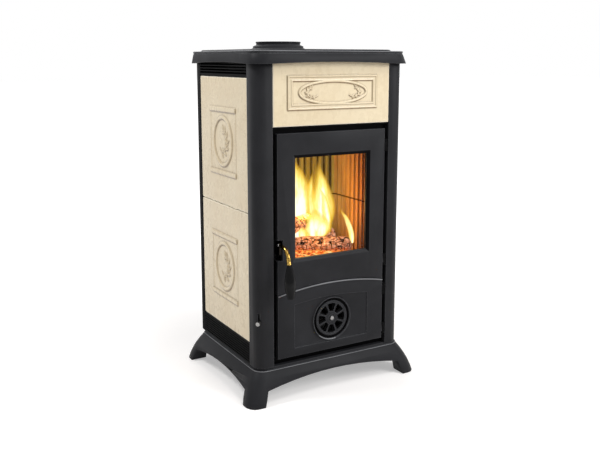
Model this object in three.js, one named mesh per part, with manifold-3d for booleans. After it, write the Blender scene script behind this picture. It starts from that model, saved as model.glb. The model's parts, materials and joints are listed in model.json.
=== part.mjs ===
// A free-standing tiled wood stove: iron casing with five glazed tiles, a glazed fire door over an
// ash door, a lined firebox and a flue collar on top. Millimetres, +X right, +Y back, +Z up.
import * as THREE from 'three';
import { mergeVertices } from 'three/addons/utils/BufferGeometryUtils.js';
import Module from 'manifold-3d';

const wasm = await Module();
wasm.setup();

// ---- Driving dimensions. The casing is centred on x = 0, y = 0 and stands on z = 0. ----

const BODY_WIDTH = 450; // across the posts
const BODY_DEPTH = 370; // front face to rear edge
const GAP = 0.3; // between pieces that fit into or rest against each other
const RUNNING_GAP = 0.5; // between pieces that move past each other

// Base casting with four splayed feet.
const BASE_RIM_Z = 84;
const BASE_RIM_PROUD = 3; // past the casing's faces
const BASE_RIM_ROUND = 2;
const BASE_WALL = 9;
const BASE_CORNER_R = 30;
const PLINTH_Z = 90; // top of the plinth that the posts stand on
const PLINTH_INSET = 3;
const DECK_THICKNESS = 9;
const FOOT_REACH_X = 41; // past the casing's sides, at the floor
const FOOT_REACH_Y = 36; // past its front and back
const FOOT_LENGTH = 46;
const FOOT_LEAN = 13; // of the foot's inner edge
const FOOT_CURVE = 0.54; // bend of the legs, 0 for straight ones
const FRONT_ARCH_END_Z = 38;
const FRONT_ARCH_CROWN_Z = 57;
const SIDE_ARCH_END_Z = 36;
const SIDE_ARCH_CROWN_Z = 50;

// Top plate: a flared skirt, a groove and bead round its edge, and a raised panel.
const PLATE_SEAT_Z = 892; // underside of the plate, on the posts
const PLATE_THICKNESS = 15;
const PLATE_SKIRT_DROP = 18; // of the skirt's lower edge under the seat, at the corners
const PLATE_ARCH = 5; // rise of that edge between the corners
const PLATE_SIDE_OUT = 12; // past the casing, at the lower edge
const PLATE_FRONT_OUT = 20;
const PLATE_REAR_OUT = 11;
const PLATE_FLARE = 5;
const PLATE_REAR_FLARE = 1;
const PLATE_SKIRT_WALL = 6;
const PLATE_EDGE_CORNER_R = 40; // of the front corners, at the lower edge
const PLATE_CORNER_R = 46; // of the front corners above the flare
const PLATE_REAR_CORNER_R = 6;
const PLATE_HOLLOW_ROUNDER = 8; // the skirt's inner corners, than the posts' corners
const PLATE_GROOVE = 1.5;
const PLATE_BEAD_HEIGHT = 5;
const PANEL_RISE = 4; // of the raised panel
const PANEL_INSET = 22;
const PANEL_SLOPE = 4;
const PANEL_THICKNESS = 8; // over the recess under it
const PANEL_LAND = 12; // round the recess, where the plate lies on the firebox

// Flue collar, a socket for a 120 mm pipe.
const COLLAR_BORE_R = 61;
const COLLAR_WALL = 4;
const COLLAR_HEIGHT = 24; // above the raised panel
const COLLAR_LIP = 5;
const COLLAR_FOOT_OUT = 12; // of the base ring past the neck
const COLLAR_FOOT_HEIGHT = 5;
const COLLAR_SHOULDER_IN = 4; // of the ring above it, from the base ring's edge
const COLLAR_SHOULDER_HEIGHT = 11;
const COLLAR_WAIST = 1.5; // depth of the waist under the lip
const COLLAR_REAR_INSET = 70; // from its centre to the casing's rear edge

// Posts.
const POST_FRONT_FACE = 47;
const POST_SIDE_FACE = 48.5;
const POST_WALL = 7;
const POST_R = 28;
const POST_LIP = 5;
const REAR_POST_FACE = 24;
const REAR_POST_WALL = 5;
const REAR_POST_CHAMFER = 2;

// Tiles and the sheet panels that carry them.
const TILE_THICKNESS = 10;
const TILE_PROUD = 1;
const TILE_EDGE = 2;
const TILE_JOINT = 2;
const TILE_SIDE_GAP = 1;
const TILE_RELIEF = 2;
const SIDE_TILE_BOTTOM_Z = 151;
const SIDE_TILE_TOP_Z = 840;
const FRONT_TILE_BOTTOM_Z = 718;
const FRONT_TILE_TOP_GAP = 6; // to the top plate's seat
const SIDE_PANEL_SHEET = 2.5;
// The mouldings' bars and rings; drop lowers them from the tile's middle.
const SIDE_MOULDING = {
  width: 175, height: 185, bar: 15, rail: 15, ovalWidth: 124, ovalHeight: 138, ring: 13, drop: 0,
};
const FRONT_MOULDING = {
  width: 274, height: 88, bar: 16, rail: 7, ovalWidth: 210, ovalHeight: 64, ring: 7, drop: 6,
};

// Louvred grilles above and below the side tiles.
const GRILLE_DEPTH = 9;
const GRILLE_FRAME = 3;
const SLAT_PITCH = 6.6;
const SLAT_THICKNESS = 2;
const SLAT_DROP = 3.5; // from a slat's inner edge to its outer one

// Back panel.
const BACK_SHEET = 2.5;
const BACK_SLOT_LENGTH = 46;
const BACK_SLOT_HEIGHT = 7;
const BACK_SLOT_PITCH_X = 62;
const BACK_SLOT_PITCH_Z = 22;
const BACK_SLOT_ROWS = 4;
const BACK_SLOT_COLUMNS = 5;
const BACK_SLOTS_LOW_Z = 150;
const BACK_SLOTS_HIGH_Z = 740;

// Doors.
const DOOR_SIDE_GAP = 12.7; // to the posts
const DOOR_THICKNESS = 14;
const FIRE_DOOR_TOP_GAP = 17; // to the front tile
const ASH_DOOR_BOTTOM_GAP = 18; // to the plinth
const SEAM_END_Z = 279.5; // top edge of the ash door, an arch
const SEAM_CROWN_Z = 297;
const SEAM_GAP = 2.5;
const HINGE_AXIS_IN = 6.5; // from the post's inner edge
const HINGE_AXIS_BACK = 5; // from the doors' front face
const HINGE_PIN_R = 3.2;
const KNUCKLE_R = 5.8;
const KNUCKLE_LENGTH = 24;
const EAR_LENGTH = 8;
const FIRE_KNUCKLE_LOW_IN = 48; // from the seam's end to the lower knuckle
const FIRE_KNUCKLE_HIGH_IN = 37; // from the door's top
const ASH_KNUCKLE_IN = 20; // from the ash door's bottom and from the seam's end

// Window in the fire door, a little smaller than the fire opening behind it.
const WINDOW_IN_SIDE = 24; // in from the opening's sides
const WINDOW_IN_TOP = 28;
const WINDOW_IN_BOTTOM = 37.5;
const WINDOW_BEVEL = 8;
const WINDOW_BEVEL_DEPTH = 4.5;
const WINDOW_REBATE_DEPTH = 7; // from the door's back
const GLASS_THICKNESS = 4;
const GLASS_LAP = 10; // under the door's frame
const GASKET_THICKNESS = 1;
const RETAINER_LAP = 14;

// Handle and latch, in a notch in the fire door's free edge.
const NOTCH_DEPTH = 15;
const NOTCH_HEIGHT = 55;
const LATCH_PIVOT_Z = 415;
const LATCH_PIVOT_DROP = 13; // from the notch's top
const LATCH_PIN_R = 3;
const LATCH_PIN_HOLD = 14; // of the pin in the door beside the notch
const LATCH_PIN_HEAD_OUT = 1.5; // of its head past its radius
const LATCH_PIN_HEAD_HEIGHT = 2;
const LATCH_HUB_R = 6.5;
const LATCH_HUB_LENGTH = 10;
const LATCH_ARM = 8; // square section of the hook
const LATCH_HOOK_DROP = 23; // of the hook under the pivot
const LATCH_HOOK_REACH = 28; // behind the pivot
const LATCH_NOSE = 4;
const LATCH_NOSE_GAP = 1;
const HOOK_SLOT_SIDE = 4; // room beside the hook, which swings with the door
const KEEPER_WALL = 2;
const KEEPER_ROOM = 1.5; // behind the hook's tip
const NECK_R = 5;
const GRIP_LENGTH = 86;
const GRIP_HALF_WIDTH = 15.5;
const GRIP_HALF_DEPTH = 12;
const GRIP_STANDOFF = 43; // of the grip's upper end from the door's face
const GRIP_LEAN = 9; // further out at its lower end
const GRIP_TOP_DROP = 43; // of its upper end under the pivot

// Air rosette in the ash door.
const ROSETTE_Z = 194;
const ROSETTE_SEAT_R = 56.5;
const ROSETTE_R = 50;
const ROSETTE_THICKNESS = 5;
const ROSETTE_SEAT_DEPTH = 6.5;
const ROSETTE_WINDOWS = 8;
const ROSETTE_WINDOW_ARC = 22; // degrees
const ROSETTE_WINDOW_IN_R = 19;
const ROSETTE_WINDOW_OUT_R = 39;
const ROSETTE_SCREW_R = 3;
const ROSETTE_HEAD_R = 5.5;
const ROSETTE_HEAD_HEIGHT = 3;

// Recessed panel of the ash door.
const ASH_PANEL_SIDE_MARGIN = 50;
const ASH_PANEL_TOP_MARGIN = 39;
const ASH_PANEL_BOTTOM_MARGIN = 22;
const ASH_PANEL_DEPTH = 2.5;

// Front plate behind the doors, with an opening for each.
const FRONT_PLATE_THICKNESS = 8;
const FRONT_PLATE_BACK = 17; // from the casing's front to the plate's front face
const FIRE_OPENING_TOP_IN = 36; // in from the fire door's top
const FIRE_OPENING_BOTTOM_IN = 38; // above the seam's crown
const ASH_OPENING_TOP_IN = 17.5; // under the seam's ends
const ASH_OPENING_BOTTOM_IN = 20; // in from the ash door's bottom
const CATCH_WIDTH = 14; // of the ash door's magnet
const CATCH_HEIGHT = 28;
const CATCH_EDGE = 7; // from the ash door's free edge
const CATCH_SEAL_ROOM = 12.3; // from the catch to the ash door's seal
const NOTCH_SEAL_ROOM = 3.3; // from the handle's notch to the fire door's seal
const SEAL_WIDTH = 8;
const SEAL_SEAT_DEPTH = 4;
const SEAL_OFFSET = 4; // from the opening's edge
const TILE_LEDGE_HEIGHT = 4;
const TILE_BOSS_WIDTH = 120;
const TILE_BOSS_HEIGHT = 80;

// Firebox: welded shell, hearth plate, grate, fluted linings and baffle.
const SHELL_SIDE_IN = 51; // from the casing's side, for the air channel
const SHELL_WALL = 4;
const SHELL_BACK_IN = 115; // from the casing's rear edge to the lower back wall
const CHAMBER_BACK_IN = 15; // to the smoke chamber's back wall
const CHAMBER_FLOOR_Z = 700; // where the smoke chamber steps back
const CHAMBER_STEP = 50; // height of the sloping step under it
const SMOKE_HOLE_SIDE = 100; // square, in the shell's roof, under the collar
const SHELL_LEDGE = 5; // the hearth's ledges and the baffle's pegs, in from the shell's sides
const RUNNER_WIDTH = 16;
const HEARTH_Z = 324; // top of the hearth plate
const HEARTH_THICKNESS = 10;
const GRATE_WIDTH = 180;
const GRATE_DEPTH = 140;
const GRATE_THICKNESS = 6;
const GRATE_LAP = 8;
const GRATE_BAR_PITCH = 20;
const GRATE_SLOT = 9;
const LINING_THICKNESS = 21.5;
const LINING_TOP_Z = 650;
const LINING_JOINT_Z = 489;
const FLUTE_PITCH = 22;
const FLUTE_DEPTH = 6;
const BAFFLE_THICKNESS = 12;
const BAFFLE_RISE = 50;
const BAFFLE_PASSAGE = 80; // between its front edge and the front plate

// Ash drawer.
const DRAWER_SIDE_GAP = 8; // to the ash opening's sides
const DRAWER_FRONT_GAP = 4; // to the front plate's back
const DRAWER_HEIGHT = 68;
const DRAWER_BACK_GAP = 26; // to the shell's back wall
const DRAWER_WALL = 3;

// Secondary-air lever in a slot on the left front post.
const AIR_LEVER_Z = 215;
const AIR_TRAVEL = 19;
const AIR_SLOT_WIDTH = 8;
const AIR_STEM_R = 2.5;
const AIR_STEM_PAST = 1.5; // its end behind the slider
const AIR_KNOB_R = 5.5;
const AIR_KNOB_LENGTH = 11;
const AIR_SLIDER_WIDTH = 16;
const AIR_SLIDER_SHEET = 3;
const AIR_SLIDER_BELOW = 14; // the lever
const AIR_SLIDER_ABOVE = 46;
const AIR_END_ROOM = 2; // past the lever and the slider, at the ends of their travel

// Fire contents: embers and three logs.
const EMBER_SIDE_ROOM = 30; // from the side linings
const EMBER_END_ROOM = 33; // from the hearth's front and back
const EMBER_HEIGHT = 24;
const LOG_R = 23;
const UPPER_LOG_R = 26;
// The logs' ends, in from the linings at the left and the front, or where negative at the right
// and the back.
const FRONT_LOG = { fromX: -38, fromY: 31, toX: 47, toY: -24 };
const BACK_LOG = { fromX: -143, fromY: -25, toX: -23, toY: -34 };
const UPPER_LOG = { fromX: 28, fromY: 86, toX: -89, toY: -26 };

// ---- Derived places ----

const halfWidth = BODY_WIDTH / 2;
const halfDepth = BODY_DEPTH / 2;
const frontY = -halfDepth;
const openingHalf = halfWidth - POST_FRONT_FACE; // between the front posts
const doorHalf = openingHalf - DOOR_SIDE_GAP;
const fireDoorTopZ = FRONT_TILE_BOTTOM_Z - FIRE_DOOR_TOP_GAP;
const ashDoorBottomZ = PLINTH_Z + ASH_DOOR_BOTTOM_GAP;
const doorBackY = frontY + DOOR_THICKNESS;
const plateFrontY = frontY + FRONT_PLATE_BACK;
const plateBackY = plateFrontY + FRONT_PLATE_THICKNESS;
const hingeX = openingHalf - HINGE_AXIS_IN;
const hingeY = frontY + HINGE_AXIS_BACK;
const sealReach = SEAL_OFFSET + SEAL_WIDTH; // of a seal's outer edge past its opening
const fireOpeningHalf = doorHalf - NOTCH_DEPTH - NOTCH_SEAL_ROOM - sealReach;
const fireOpeningZ = [SEAM_CROWN_Z + FIRE_OPENING_BOTTOM_IN, fireDoorTopZ - FIRE_OPENING_TOP_IN];
const ashOpeningHalf = doorHalf - CATCH_EDGE - CATCH_WIDTH - CATCH_SEAL_ROOM - sealReach;
const ashOpeningZ = [ashDoorBottomZ + ASH_OPENING_BOTTOM_IN, SEAM_END_Z - ASH_OPENING_TOP_IN];
const windowHalf = fireOpeningHalf - WINDOW_IN_SIDE;
const windowBottomZ = fireOpeningZ[0] + WINDOW_IN_BOTTOM;
const windowTopZ = fireOpeningZ[1] - WINDOW_IN_TOP;
// The lower ends of each door's two knuckles.
const fireKnucklesZ = [
  SEAM_END_Z + FIRE_KNUCKLE_LOW_IN,
  fireDoorTopZ - FIRE_KNUCKLE_HIGH_IN - KNUCKLE_LENGTH,
];
const ashKnucklesZ = [ashDoorBottomZ + ASH_KNUCKLE_IN, SEAM_END_Z - ASH_KNUCKLE_IN - KNUCKLE_LENGTH];
const frontTileTopZ = PLATE_SEAT_Z - FRONT_TILE_TOP_GAP;
const plateTopZ = PLATE_SEAT_Z + PLATE_THICKNESS;
const panelTopZ = plateTopZ + PANEL_RISE;
const collarY = halfDepth - COLLAR_REAR_INSET;
const shellHalf = halfWidth - SHELL_SIDE_IN;
const shellBackY = halfDepth - SHELL_BACK_IN;
const chamberBackY = halfDepth - CHAMBER_BACK_IN;
const shellTopZ = PLATE_SEAT_Z - GAP;
const shellBetween = shellHalf - SHELL_WALL - GAP; // half the room between its side plates
const liningOuterX = shellHalf - SHELL_WALL - RUNNING_GAP;
const liningInnerX = liningOuterX - LINING_THICKNESS;
const liningBackY = shellBackY - SHELL_WALL - RUNNING_GAP;
const hearthBackY = liningBackY - LINING_THICKNESS; // face of the back lining
const sealSeatY = doorBackY - SEAL_SEAT_DEPTH;
const latchY = sealSeatY - LATCH_PIN_R - GAP; // the pin passes in front of the seal
const latchX = -doorHalf + NOTCH_DEPTH - GAP - LATCH_HUB_LENGTH / 2;
const notchTopZ = LATCH_PIVOT_Z + LATCH_PIVOT_DROP;
const latchPinEndX = -doorHalf + NOTCH_DEPTH + LATCH_PIN_HOLD;
const hookTopZ = LATCH_PIVOT_Z - LATCH_HOOK_DROP + LATCH_ARM / 2;
const keeperTopZ = hookTopZ + LATCH_NOSE + LATCH_NOSE_GAP;
const hookTipY = latchY + LATCH_HOOK_REACH;
const hookSweep = Math.hypot(LATCH_HOOK_REACH, LATCH_HOOK_DROP + LATCH_ARM / 2);
const hookSlotZ = [LATCH_PIVOT_Z - hookSweep - 1, keeperTopZ]; // the lifted handle's hook swings down
const hookSlotHalf = LATCH_ARM / 2 + HOOK_SLOT_SIDE;
const liningFrontY = hookTipY + KEEPER_ROOM + KEEPER_WALL; // clear of the latch keeper
const airSlotEnd = AIR_SLOT_WIDTH / 2 + AIR_END_ROOM;
const airSlotZ = [AIR_LEVER_Z - airSlotEnd, AIR_LEVER_Z + AIR_TRAVEL + airSlotEnd];
const airSliderZ = [AIR_LEVER_Z - AIR_SLIDER_BELOW, AIR_LEVER_Z + AIR_SLIDER_ABOVE];
const grateY = (liningFrontY + hearthBackY) / 2;
const grateTopZ = HEARTH_Z - HEARTH_THICKNESS / 2 + GRATE_THICKNESS; // in a rebate half the hearth deep
const postCentre = { x: -halfWidth + POST_R, y: frontY + POST_R };
const postInnerR = POST_R - POST_WALL;
const plateReach = Math.sqrt((postInnerR - 2 * GAP) ** 2 - Math.max(0, postCentre.y - plateFrontY) ** 2);
const plateHalf = -postCentre.x + plateReach; // the front plate fits inside the posts' rounded corners

// ---- Materials ----

function finish(color, roughness, metalness) {
  return new THREE.MeshStandardMaterial({ color, roughness, metalness });
}
const ironPaint = finish(0x3a3a3d, 0.6, 0.5);
const sheetSteel = finish(0x2c2c2e, 0.6, 0.5);
const rawIron = finish(0x55504b, 0.8, 0.6);
const glaze = finish(0xeedfbd, 0.3, 0);
const brass = finish(0xb08a3c, 0.25, 1);
const brightSteel = finish(0xa8a8aa, 0.3, 1);
const blackGrip = finish(0x151516, 0.4, 0);
const rope = finish(0x3b3936, 1, 0);
const refractory = finish(0xb59a6a, 0.95, 0);
const embers = finish(0xc2441a, 1, 0);
const charredWood = finish(0x8a5a44, 0.95, 0);
const clearGlass = new THREE.MeshStandardMaterial({
  color: 0xd8dcdc, roughness: 0.05, transparent: true, opacity: 0.3,
});

// ---- Shape helpers ----

function toSolid(geometry) {
  const bare = geometry.clone();
  bare.deleteAttribute('normal');
  bare.deleteAttribute('uv');
  const merged = mergeVertices(bare, 1e-4);
  return new wasm.Manifold(new wasm.Mesh({
    numProp: 3,
    vertProperties: new Float32Array(merged.attributes.position.array),
    triVerts: new Uint32Array(merged.index.array),
  }));
}

function toGeometry(solid) {
  const mesh = solid.getMesh();
  const geometry = new THREE.BufferGeometry();
  geometry.setAttribute('position', new THREE.BufferAttribute(mesh.vertProperties, 3));
  geometry.setIndex(new THREE.BufferAttribute(mesh.triVerts, 1));
  return geometry;
}

function join(first, ...others) {
  return toGeometry(others.reduce((sum, other) => sum.add(toSolid(other)), toSolid(first)));
}

function cut(first, ...tools) {
  return toGeometry(tools.reduce((rest, tool) => rest.subtract(toSolid(tool)), toSolid(first)));
}

// A box from its limits along x, y and z.
function block([x0, x1], [y0, y1], [z0, z1]) {
  const geometry = new THREE.BoxGeometry(x1 - x0, y1 - y0, z1 - z0);
  return geometry.translate((x0 + x1) / 2, (y0 + y1) / 2, (z0 + z1) / 2);
}

function outline(points) {
  return new THREE.Shape(points.map(([a, b]) => new THREE.Vector2(a, b)));
}

function withHole(shape, points) {
  shape.holes.push(new THREE.Path(points.map(([a, b]) => new THREE.Vector2(a, b))));
  return shape;
}

function extrude(shape, length) {
  return new THREE.ExtrudeGeometry(shape, { depth: length, bevelEnabled: false, curveSegments: 6 });
}

// Extrusions of a shape drawn in (x, y), in (x, z) and in (y, z).
function alongZ(shape, [z0, z1]) {
  return extrude(shape, z1 - z0).translate(0, 0, z0);
}

function alongY(shape, [y0, y1]) {
  return extrude(shape, y1 - y0).rotateX(Math.PI / 2).translate(0, y1, 0);
}

const YZ_TO_WORLD = new THREE.Matrix4().makeBasis(
  new THREE.Vector3(0, 1, 0), new THREE.Vector3(0, 0, 1), new THREE.Vector3(1, 0, 0));

function alongX(shape, [x0, x1]) {
  return extrude(shape, x1 - x0).applyMatrix4(YZ_TO_WORLD).translate(x0, 0, 0);
}

// A round bar between two points.
function rod(radius, from, to, sides = 16) {
  const start = new THREE.Vector3(...from);
  const span = new THREE.Vector3(...to).sub(start);
  const geometry = new THREE.CylinderGeometry(radius, radius, span.length(), sides);
  const turn = new THREE.Quaternion();
  turn.setFromUnitVectors(new THREE.Vector3(0, 1, 0), span.clone().normalize());
  return geometry.applyQuaternion(turn).translate(...start.addScaledVector(span, 0.5).toArray());
}

function rectangle(halfW, z0, z1) {
  return [[-halfW, z0], [halfW, z0], [halfW, z1], [-halfW, z1]];
}

function ellipse(halfA, halfB, centreB, sides) {
  return Array.from({ length: sides }, (_, i) => {
    const angle = (2 * Math.PI * i) / sides;
    return [halfA * Math.cos(angle), centreB + halfB * Math.sin(angle)];
  });
}

function arcPoints(cx, cy, radius, startDeg, endDeg, steps) {
  return Array.from({ length: steps + 1 }, (_, i) => {
    const angle = THREE.MathUtils.degToRad(startDeg + ((endDeg - startDeg) * i) / steps);
    return [cx + radius * Math.cos(angle), cy + radius * Math.sin(angle)];
  });
}

// A rounded rectangle from x = -halfX to halfX and y = y0 to y1, counter-clockwise, with extra
// points along its sides where the edge of a loft has to arch.
function roundedRectangle(halfX, y0, y1, radius, cornerSteps = 5, sideSteps = 1, rearRadius = radius) {
  const corners = [
    [1, y0 + radius, radius, -90],
    [1, y1 - rearRadius, rearRadius, 0],
    [-1, y1 - rearRadius, rearRadius, 90],
    [-1, y0 + radius, radius, 180],
  ];
  const arcs = corners.map(([side, y, r, start]) => (
    arcPoints(side * (halfX - r), y, r, start, start + 90, cornerSteps)));
  return arcs.flatMap((arc, k) => {
    const [x0, ya] = arc[cornerSteps];
    const [x1, yb] = arcs[(k + 1) % arcs.length][0];
    const between = Array.from({ length: sideSteps - 1 }, (_, i) => {
      const t = (i + 1) / sideSteps;
      return [x0 + t * (x1 - x0), ya + t * (yb - ya)];
    });
    return [...arc, ...between];
  });
}

// A closed body through rings of equally many points, listed from one end to the other and each
// running counter-clockwise seen from the last ring's end.
function loft(rings) {
  const count = rings[0].length;
  const positions = rings.flat(2);
  const index = [];
  for (let r = 0; r + 1 < rings.length; r += 1) {
    for (let i = 0; i < count; i += 1) {
      const a = r * count + i;
      const b = r * count + ((i + 1) % count);
      index.push(a, b, b + count, a, b + count, a + count);
    }
  }
  [rings[0], rings[rings.length - 1]].forEach((ring, end) => {
    const middle = positions.length / 3;
    const base = end * (rings.length - 1) * count;
    for (let k = 0; k < 3; k += 1) {
      positions.push(ring.reduce((sum, point) => sum + point[k], 0) / count);
    }
    for (let i = 0; i < count; i += 1) {
      const a = base + i;
      const b = base + ((i + 1) % count);
      index.push(...(end ? [middle, a, b] : [middle, b, a]));
    }
  });
  const geometry = new THREE.BufferGeometry();
  geometry.setAttribute('position', new THREE.Float32BufferAttribute(positions, 3));
  geometry.setIndex(index);
  return geometry;
}

const stove = new THREE.Group();

function add(name, geometry, material) {
  const mesh = new THREE.Mesh(geometry, material);
  mesh.name = name;
  stove.add(mesh);
  return mesh;
}

const sides = [['left', -1], ['right', 1]];

// ---- Base casting ----

function archOutline(outerHalf, endZ, crownZ) {
  const floorHalf = outerHalf - FOOT_LENGTH;
  const archHalf = floorHalf - FOOT_LEAN;
  const steps = 10;
  const points = [[-floorHalf, -1]];
  for (let i = 0; i <= steps; i += 1) {
    const x = archHalf * ((2 * i) / steps - 1);
    points.push([x, crownZ - (crownZ - endZ) * (x / archHalf) ** 2]);
  }
  points.push([floorHalf, -1]);
  return outline(points);
}

function baseCasting() {
  const levels = [1, 0.8, 0.6, 0.4, 0.2, 0];
  const rings = levels.map((t) => {
    // The legs leave the rim at a slant and turn steeper towards the floor.
    const spread = t + FOOT_CURVE * t * (1 - t);
    const outX = BASE_RIM_PROUD + (FOOT_REACH_X - BASE_RIM_PROUD) * spread;
    const outY = BASE_RIM_PROUD + (FOOT_REACH_Y - BASE_RIM_PROUD) * spread;
    const z = (BASE_RIM_Z - BASE_RIM_ROUND) * (1 - t);
    const ring = roundedRectangle(halfWidth + outX, -halfDepth - outY, halfDepth + outY, BASE_CORNER_R);
    return ring.map(([x, y]) => [x, y, z]);
  });
  const rim = BASE_RIM_PROUD - BASE_RIM_ROUND;
  rings.push(roundedRectangle(halfWidth + rim, -halfDepth - rim, halfDepth + rim, BASE_CORNER_R)
    .map(([x, y]) => [x, y, BASE_RIM_Z]));
  const plinthX = halfWidth - PLINTH_INSET;
  const plinthY = halfDepth - PLINTH_INSET;
  const plinth = alongZ(
    outline(roundedRectangle(plinthX, -plinthY, plinthY, POST_R)), [BASE_RIM_Z - BASE_WALL, PLINTH_Z]);
  const cavityX = halfWidth + BASE_RIM_PROUD - BASE_WALL;
  const cavityY = halfDepth + BASE_RIM_PROUD - BASE_WALL;
  const cavity = block([-cavityX, cavityX], [-cavityY, cavityY], [-1, PLINTH_Z - DECK_THICKNESS]);
  const footX = halfWidth + FOOT_REACH_X;
  const footY = halfDepth + FOOT_REACH_Y;
  const frontArch = alongY(archOutline(footX, FRONT_ARCH_END_Z, FRONT_ARCH_CROWN_Z), [-footY - 1, footY + 1]);
  const sideArch = alongX(archOutline(footY, SIDE_ARCH_END_Z, SIDE_ARCH_CROWN_Z), [-footX - 1, footX + 1]);
  return cut(join(loft(rings), plinth), cavity, frontArch, sideArch);
}

add('base_casting', baseCasting(), ironPaint);

// ---- Top plate and flue collar ----

function plateRing(inset, rearInset, z, radius = PLATE_CORNER_R, arch = 0) {
  const halfX = halfWidth + PLATE_SIDE_OUT - inset;
  const y0 = -halfDepth - PLATE_FRONT_OUT + inset;
  const y1 = halfDepth + PLATE_REAR_OUT - rearInset;
  const sideStart = y0 + radius;
  const sideEnd = y1 - PLATE_REAR_CORNER_R;
  const ring = roundedRectangle(halfX, y0, y1, radius, 5, 8, PLATE_REAR_CORNER_R);
  return ring.map(([x, y]) => {
    const alongFront = Math.abs(x) / (halfX - radius);
    const alongSide = Math.abs(2 * y - sideStart - sideEnd) / (sideEnd - sideStart);
    return [x, y, z + arch * (1 - Math.min(1, alongFront, alongSide) ** 2)];
  });
}

function topPlate() {
  const grooveZ = plateTopZ - PLATE_BEAD_HEIGHT;
  const inset = PLATE_FLARE;
  const rear = PLATE_REAR_FLARE;
  const body = loft([
    plateRing(0, 0, PLATE_SEAT_Z - PLATE_SKIRT_DROP, PLATE_EDGE_CORNER_R, PLATE_ARCH),
    plateRing(inset, rear, grooveZ - 2 * PLATE_GROOVE),
    plateRing(inset + PLATE_GROOVE, rear + PLATE_GROOVE, grooveZ - PLATE_GROOVE),
    plateRing(inset, rear, grooveZ),
    plateRing(inset, rear, plateTopZ - PLATE_GROOVE),
    plateRing(inset + PLATE_GROOVE, rear + PLATE_GROOVE, plateTopZ),
  ]);
  const panelInset = inset + PANEL_INSET;
  const panel = loft([
    plateRing(panelInset - 1, rear + PLATE_GROOVE + 1, plateTopZ - 1),
    plateRing(panelInset, rear + PLATE_GROOVE + 1, plateTopZ),
    plateRing(panelInset + PANEL_SLOPE, rear + PLATE_GROOVE + 1, panelTopZ),
  ]);
  const hollowX = halfWidth + PLATE_SIDE_OUT - PLATE_FLARE - PLATE_SKIRT_WALL;
  const hollowFront = -halfDepth - PLATE_FRONT_OUT + PLATE_FLARE + PLATE_SKIRT_WALL;
  const hollowRear = halfDepth + PLATE_REAR_OUT - PLATE_REAR_FLARE - PLATE_SKIRT_WALL;
  const hollow = alongZ(
    outline(roundedRectangle(hollowX, hollowFront, hollowRear, POST_R + PLATE_HOLLOW_ROUNDER, 5, 1, 1)),
    [PLATE_SEAT_Z - PLATE_SKIRT_DROP - 10, PLATE_SEAT_Z]);
  const holeR = COLLAR_BORE_R + COLLAR_WALL + GAP;
  const hole = rod(holeR, [0, collarY, PLATE_SEAT_Z - 1], [0, collarY, panelTopZ + 1], 32);
  const recess = block(
    [PANEL_LAND - shellHalf, shellHalf - PANEL_LAND],
    [plateBackY + PANEL_LAND, collarY - holeR - PANEL_LAND],
    [PLATE_SEAT_Z - 1, panelTopZ - PANEL_THICKNESS]);
  return cut(join(body, panel), hollow, hole, recess);
}

function flueCollar() {
  const neck = COLLAR_BORE_R + COLLAR_WALL;
  const foot = neck + COLLAR_FOOT_OUT;
  const shoulder = foot - COLLAR_SHOULDER_IN;
  const waist = neck - COLLAR_WAIST;
  const spigotLow = PLATE_SEAT_Z - panelTopZ;
  const profile = [
    [COLLAR_BORE_R, spigotLow],
    [neck, spigotLow],
    [neck, 0],
    [foot, 0],
    [foot, COLLAR_FOOT_HEIGHT],
    [shoulder, COLLAR_FOOT_HEIGHT + 1],
    [shoulder, COLLAR_SHOULDER_HEIGHT],
    [waist, COLLAR_SHOULDER_HEIGHT + COLLAR_SHOULDER_IN],
    [waist, COLLAR_HEIGHT - COLLAR_LIP],
    [neck, COLLAR_HEIGHT - COLLAR_LIP + COLLAR_WAIST],
    [neck, COLLAR_HEIGHT],
    [COLLAR_BORE_R, COLLAR_HEIGHT],
    [COLLAR_BORE_R, spigotLow],
  ];
  const ring = new THREE.LatheGeometry(profile.map(([r, z]) => new THREE.Vector2(r, z)), 32);
  return toGeometry(toSolid(ring.rotateX(Math.PI / 2)));
}

add('top_plate', topPlate(), ironPaint);
add('flue_collar', flueCollar(), ironPaint).position.set(0, collarY, panelTopZ);

// ---- Posts ----

// Section of the left front post: two faces round an outer corner, and a lip back to the front plate.
function frontPostSection() {
  const { x, y } = postCentre;
  return [
    [-openingHalf, plateFrontY],
    [-openingHalf, frontY],
    ...arcPoints(x, y, POST_R, 270, 180, 8),
    [-halfWidth, frontY + POST_SIDE_FACE],
    [-halfWidth + POST_WALL, frontY + POST_SIDE_FACE],
    ...arcPoints(x, y, postInnerR, 180, 270, 8),
    [-openingHalf - POST_LIP, frontY + POST_WALL],
    [-openingHalf - POST_LIP, plateFrontY],
  ];
}

// The slot for the air lever faces out of the rounded corner, at 45 degrees.
function airSlot() {
  const slot = block([-2 * POST_R, 0], [-AIR_SLOT_WIDTH / 2, AIR_SLOT_WIDTH / 2], airSlotZ);
  return slot.rotateZ(Math.PI / 4).translate(postCentre.x, postCentre.y, 0);
}

function mirrored(points, side) {
  return side < 0 ? points : points.map(([x, y]) => [-x, y]).reverse();
}

function frontPost(side) {
  const post = alongZ(outline(mirrored(frontPostSection(), side)), [PLINTH_Z, PLATE_SEAT_Z]);
  return side < 0 ? cut(post, airSlot()) : post;
}

function rearPost(side) {
  const x = -halfWidth;
  const section = [
    [x, halfDepth - REAR_POST_FACE],
    [x + REAR_POST_WALL, halfDepth - REAR_POST_FACE],
    [x + REAR_POST_WALL, halfDepth - REAR_POST_WALL],
    [x + REAR_POST_FACE, halfDepth - REAR_POST_WALL],
    [x + REAR_POST_FACE, halfDepth],
    [x + REAR_POST_CHAMFER, halfDepth],
    [x, halfDepth - REAR_POST_CHAMFER],
  ];
  return alongZ(outline(mirrored(section, side)), [PLINTH_Z, PLATE_SEAT_Z]);
}

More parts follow.
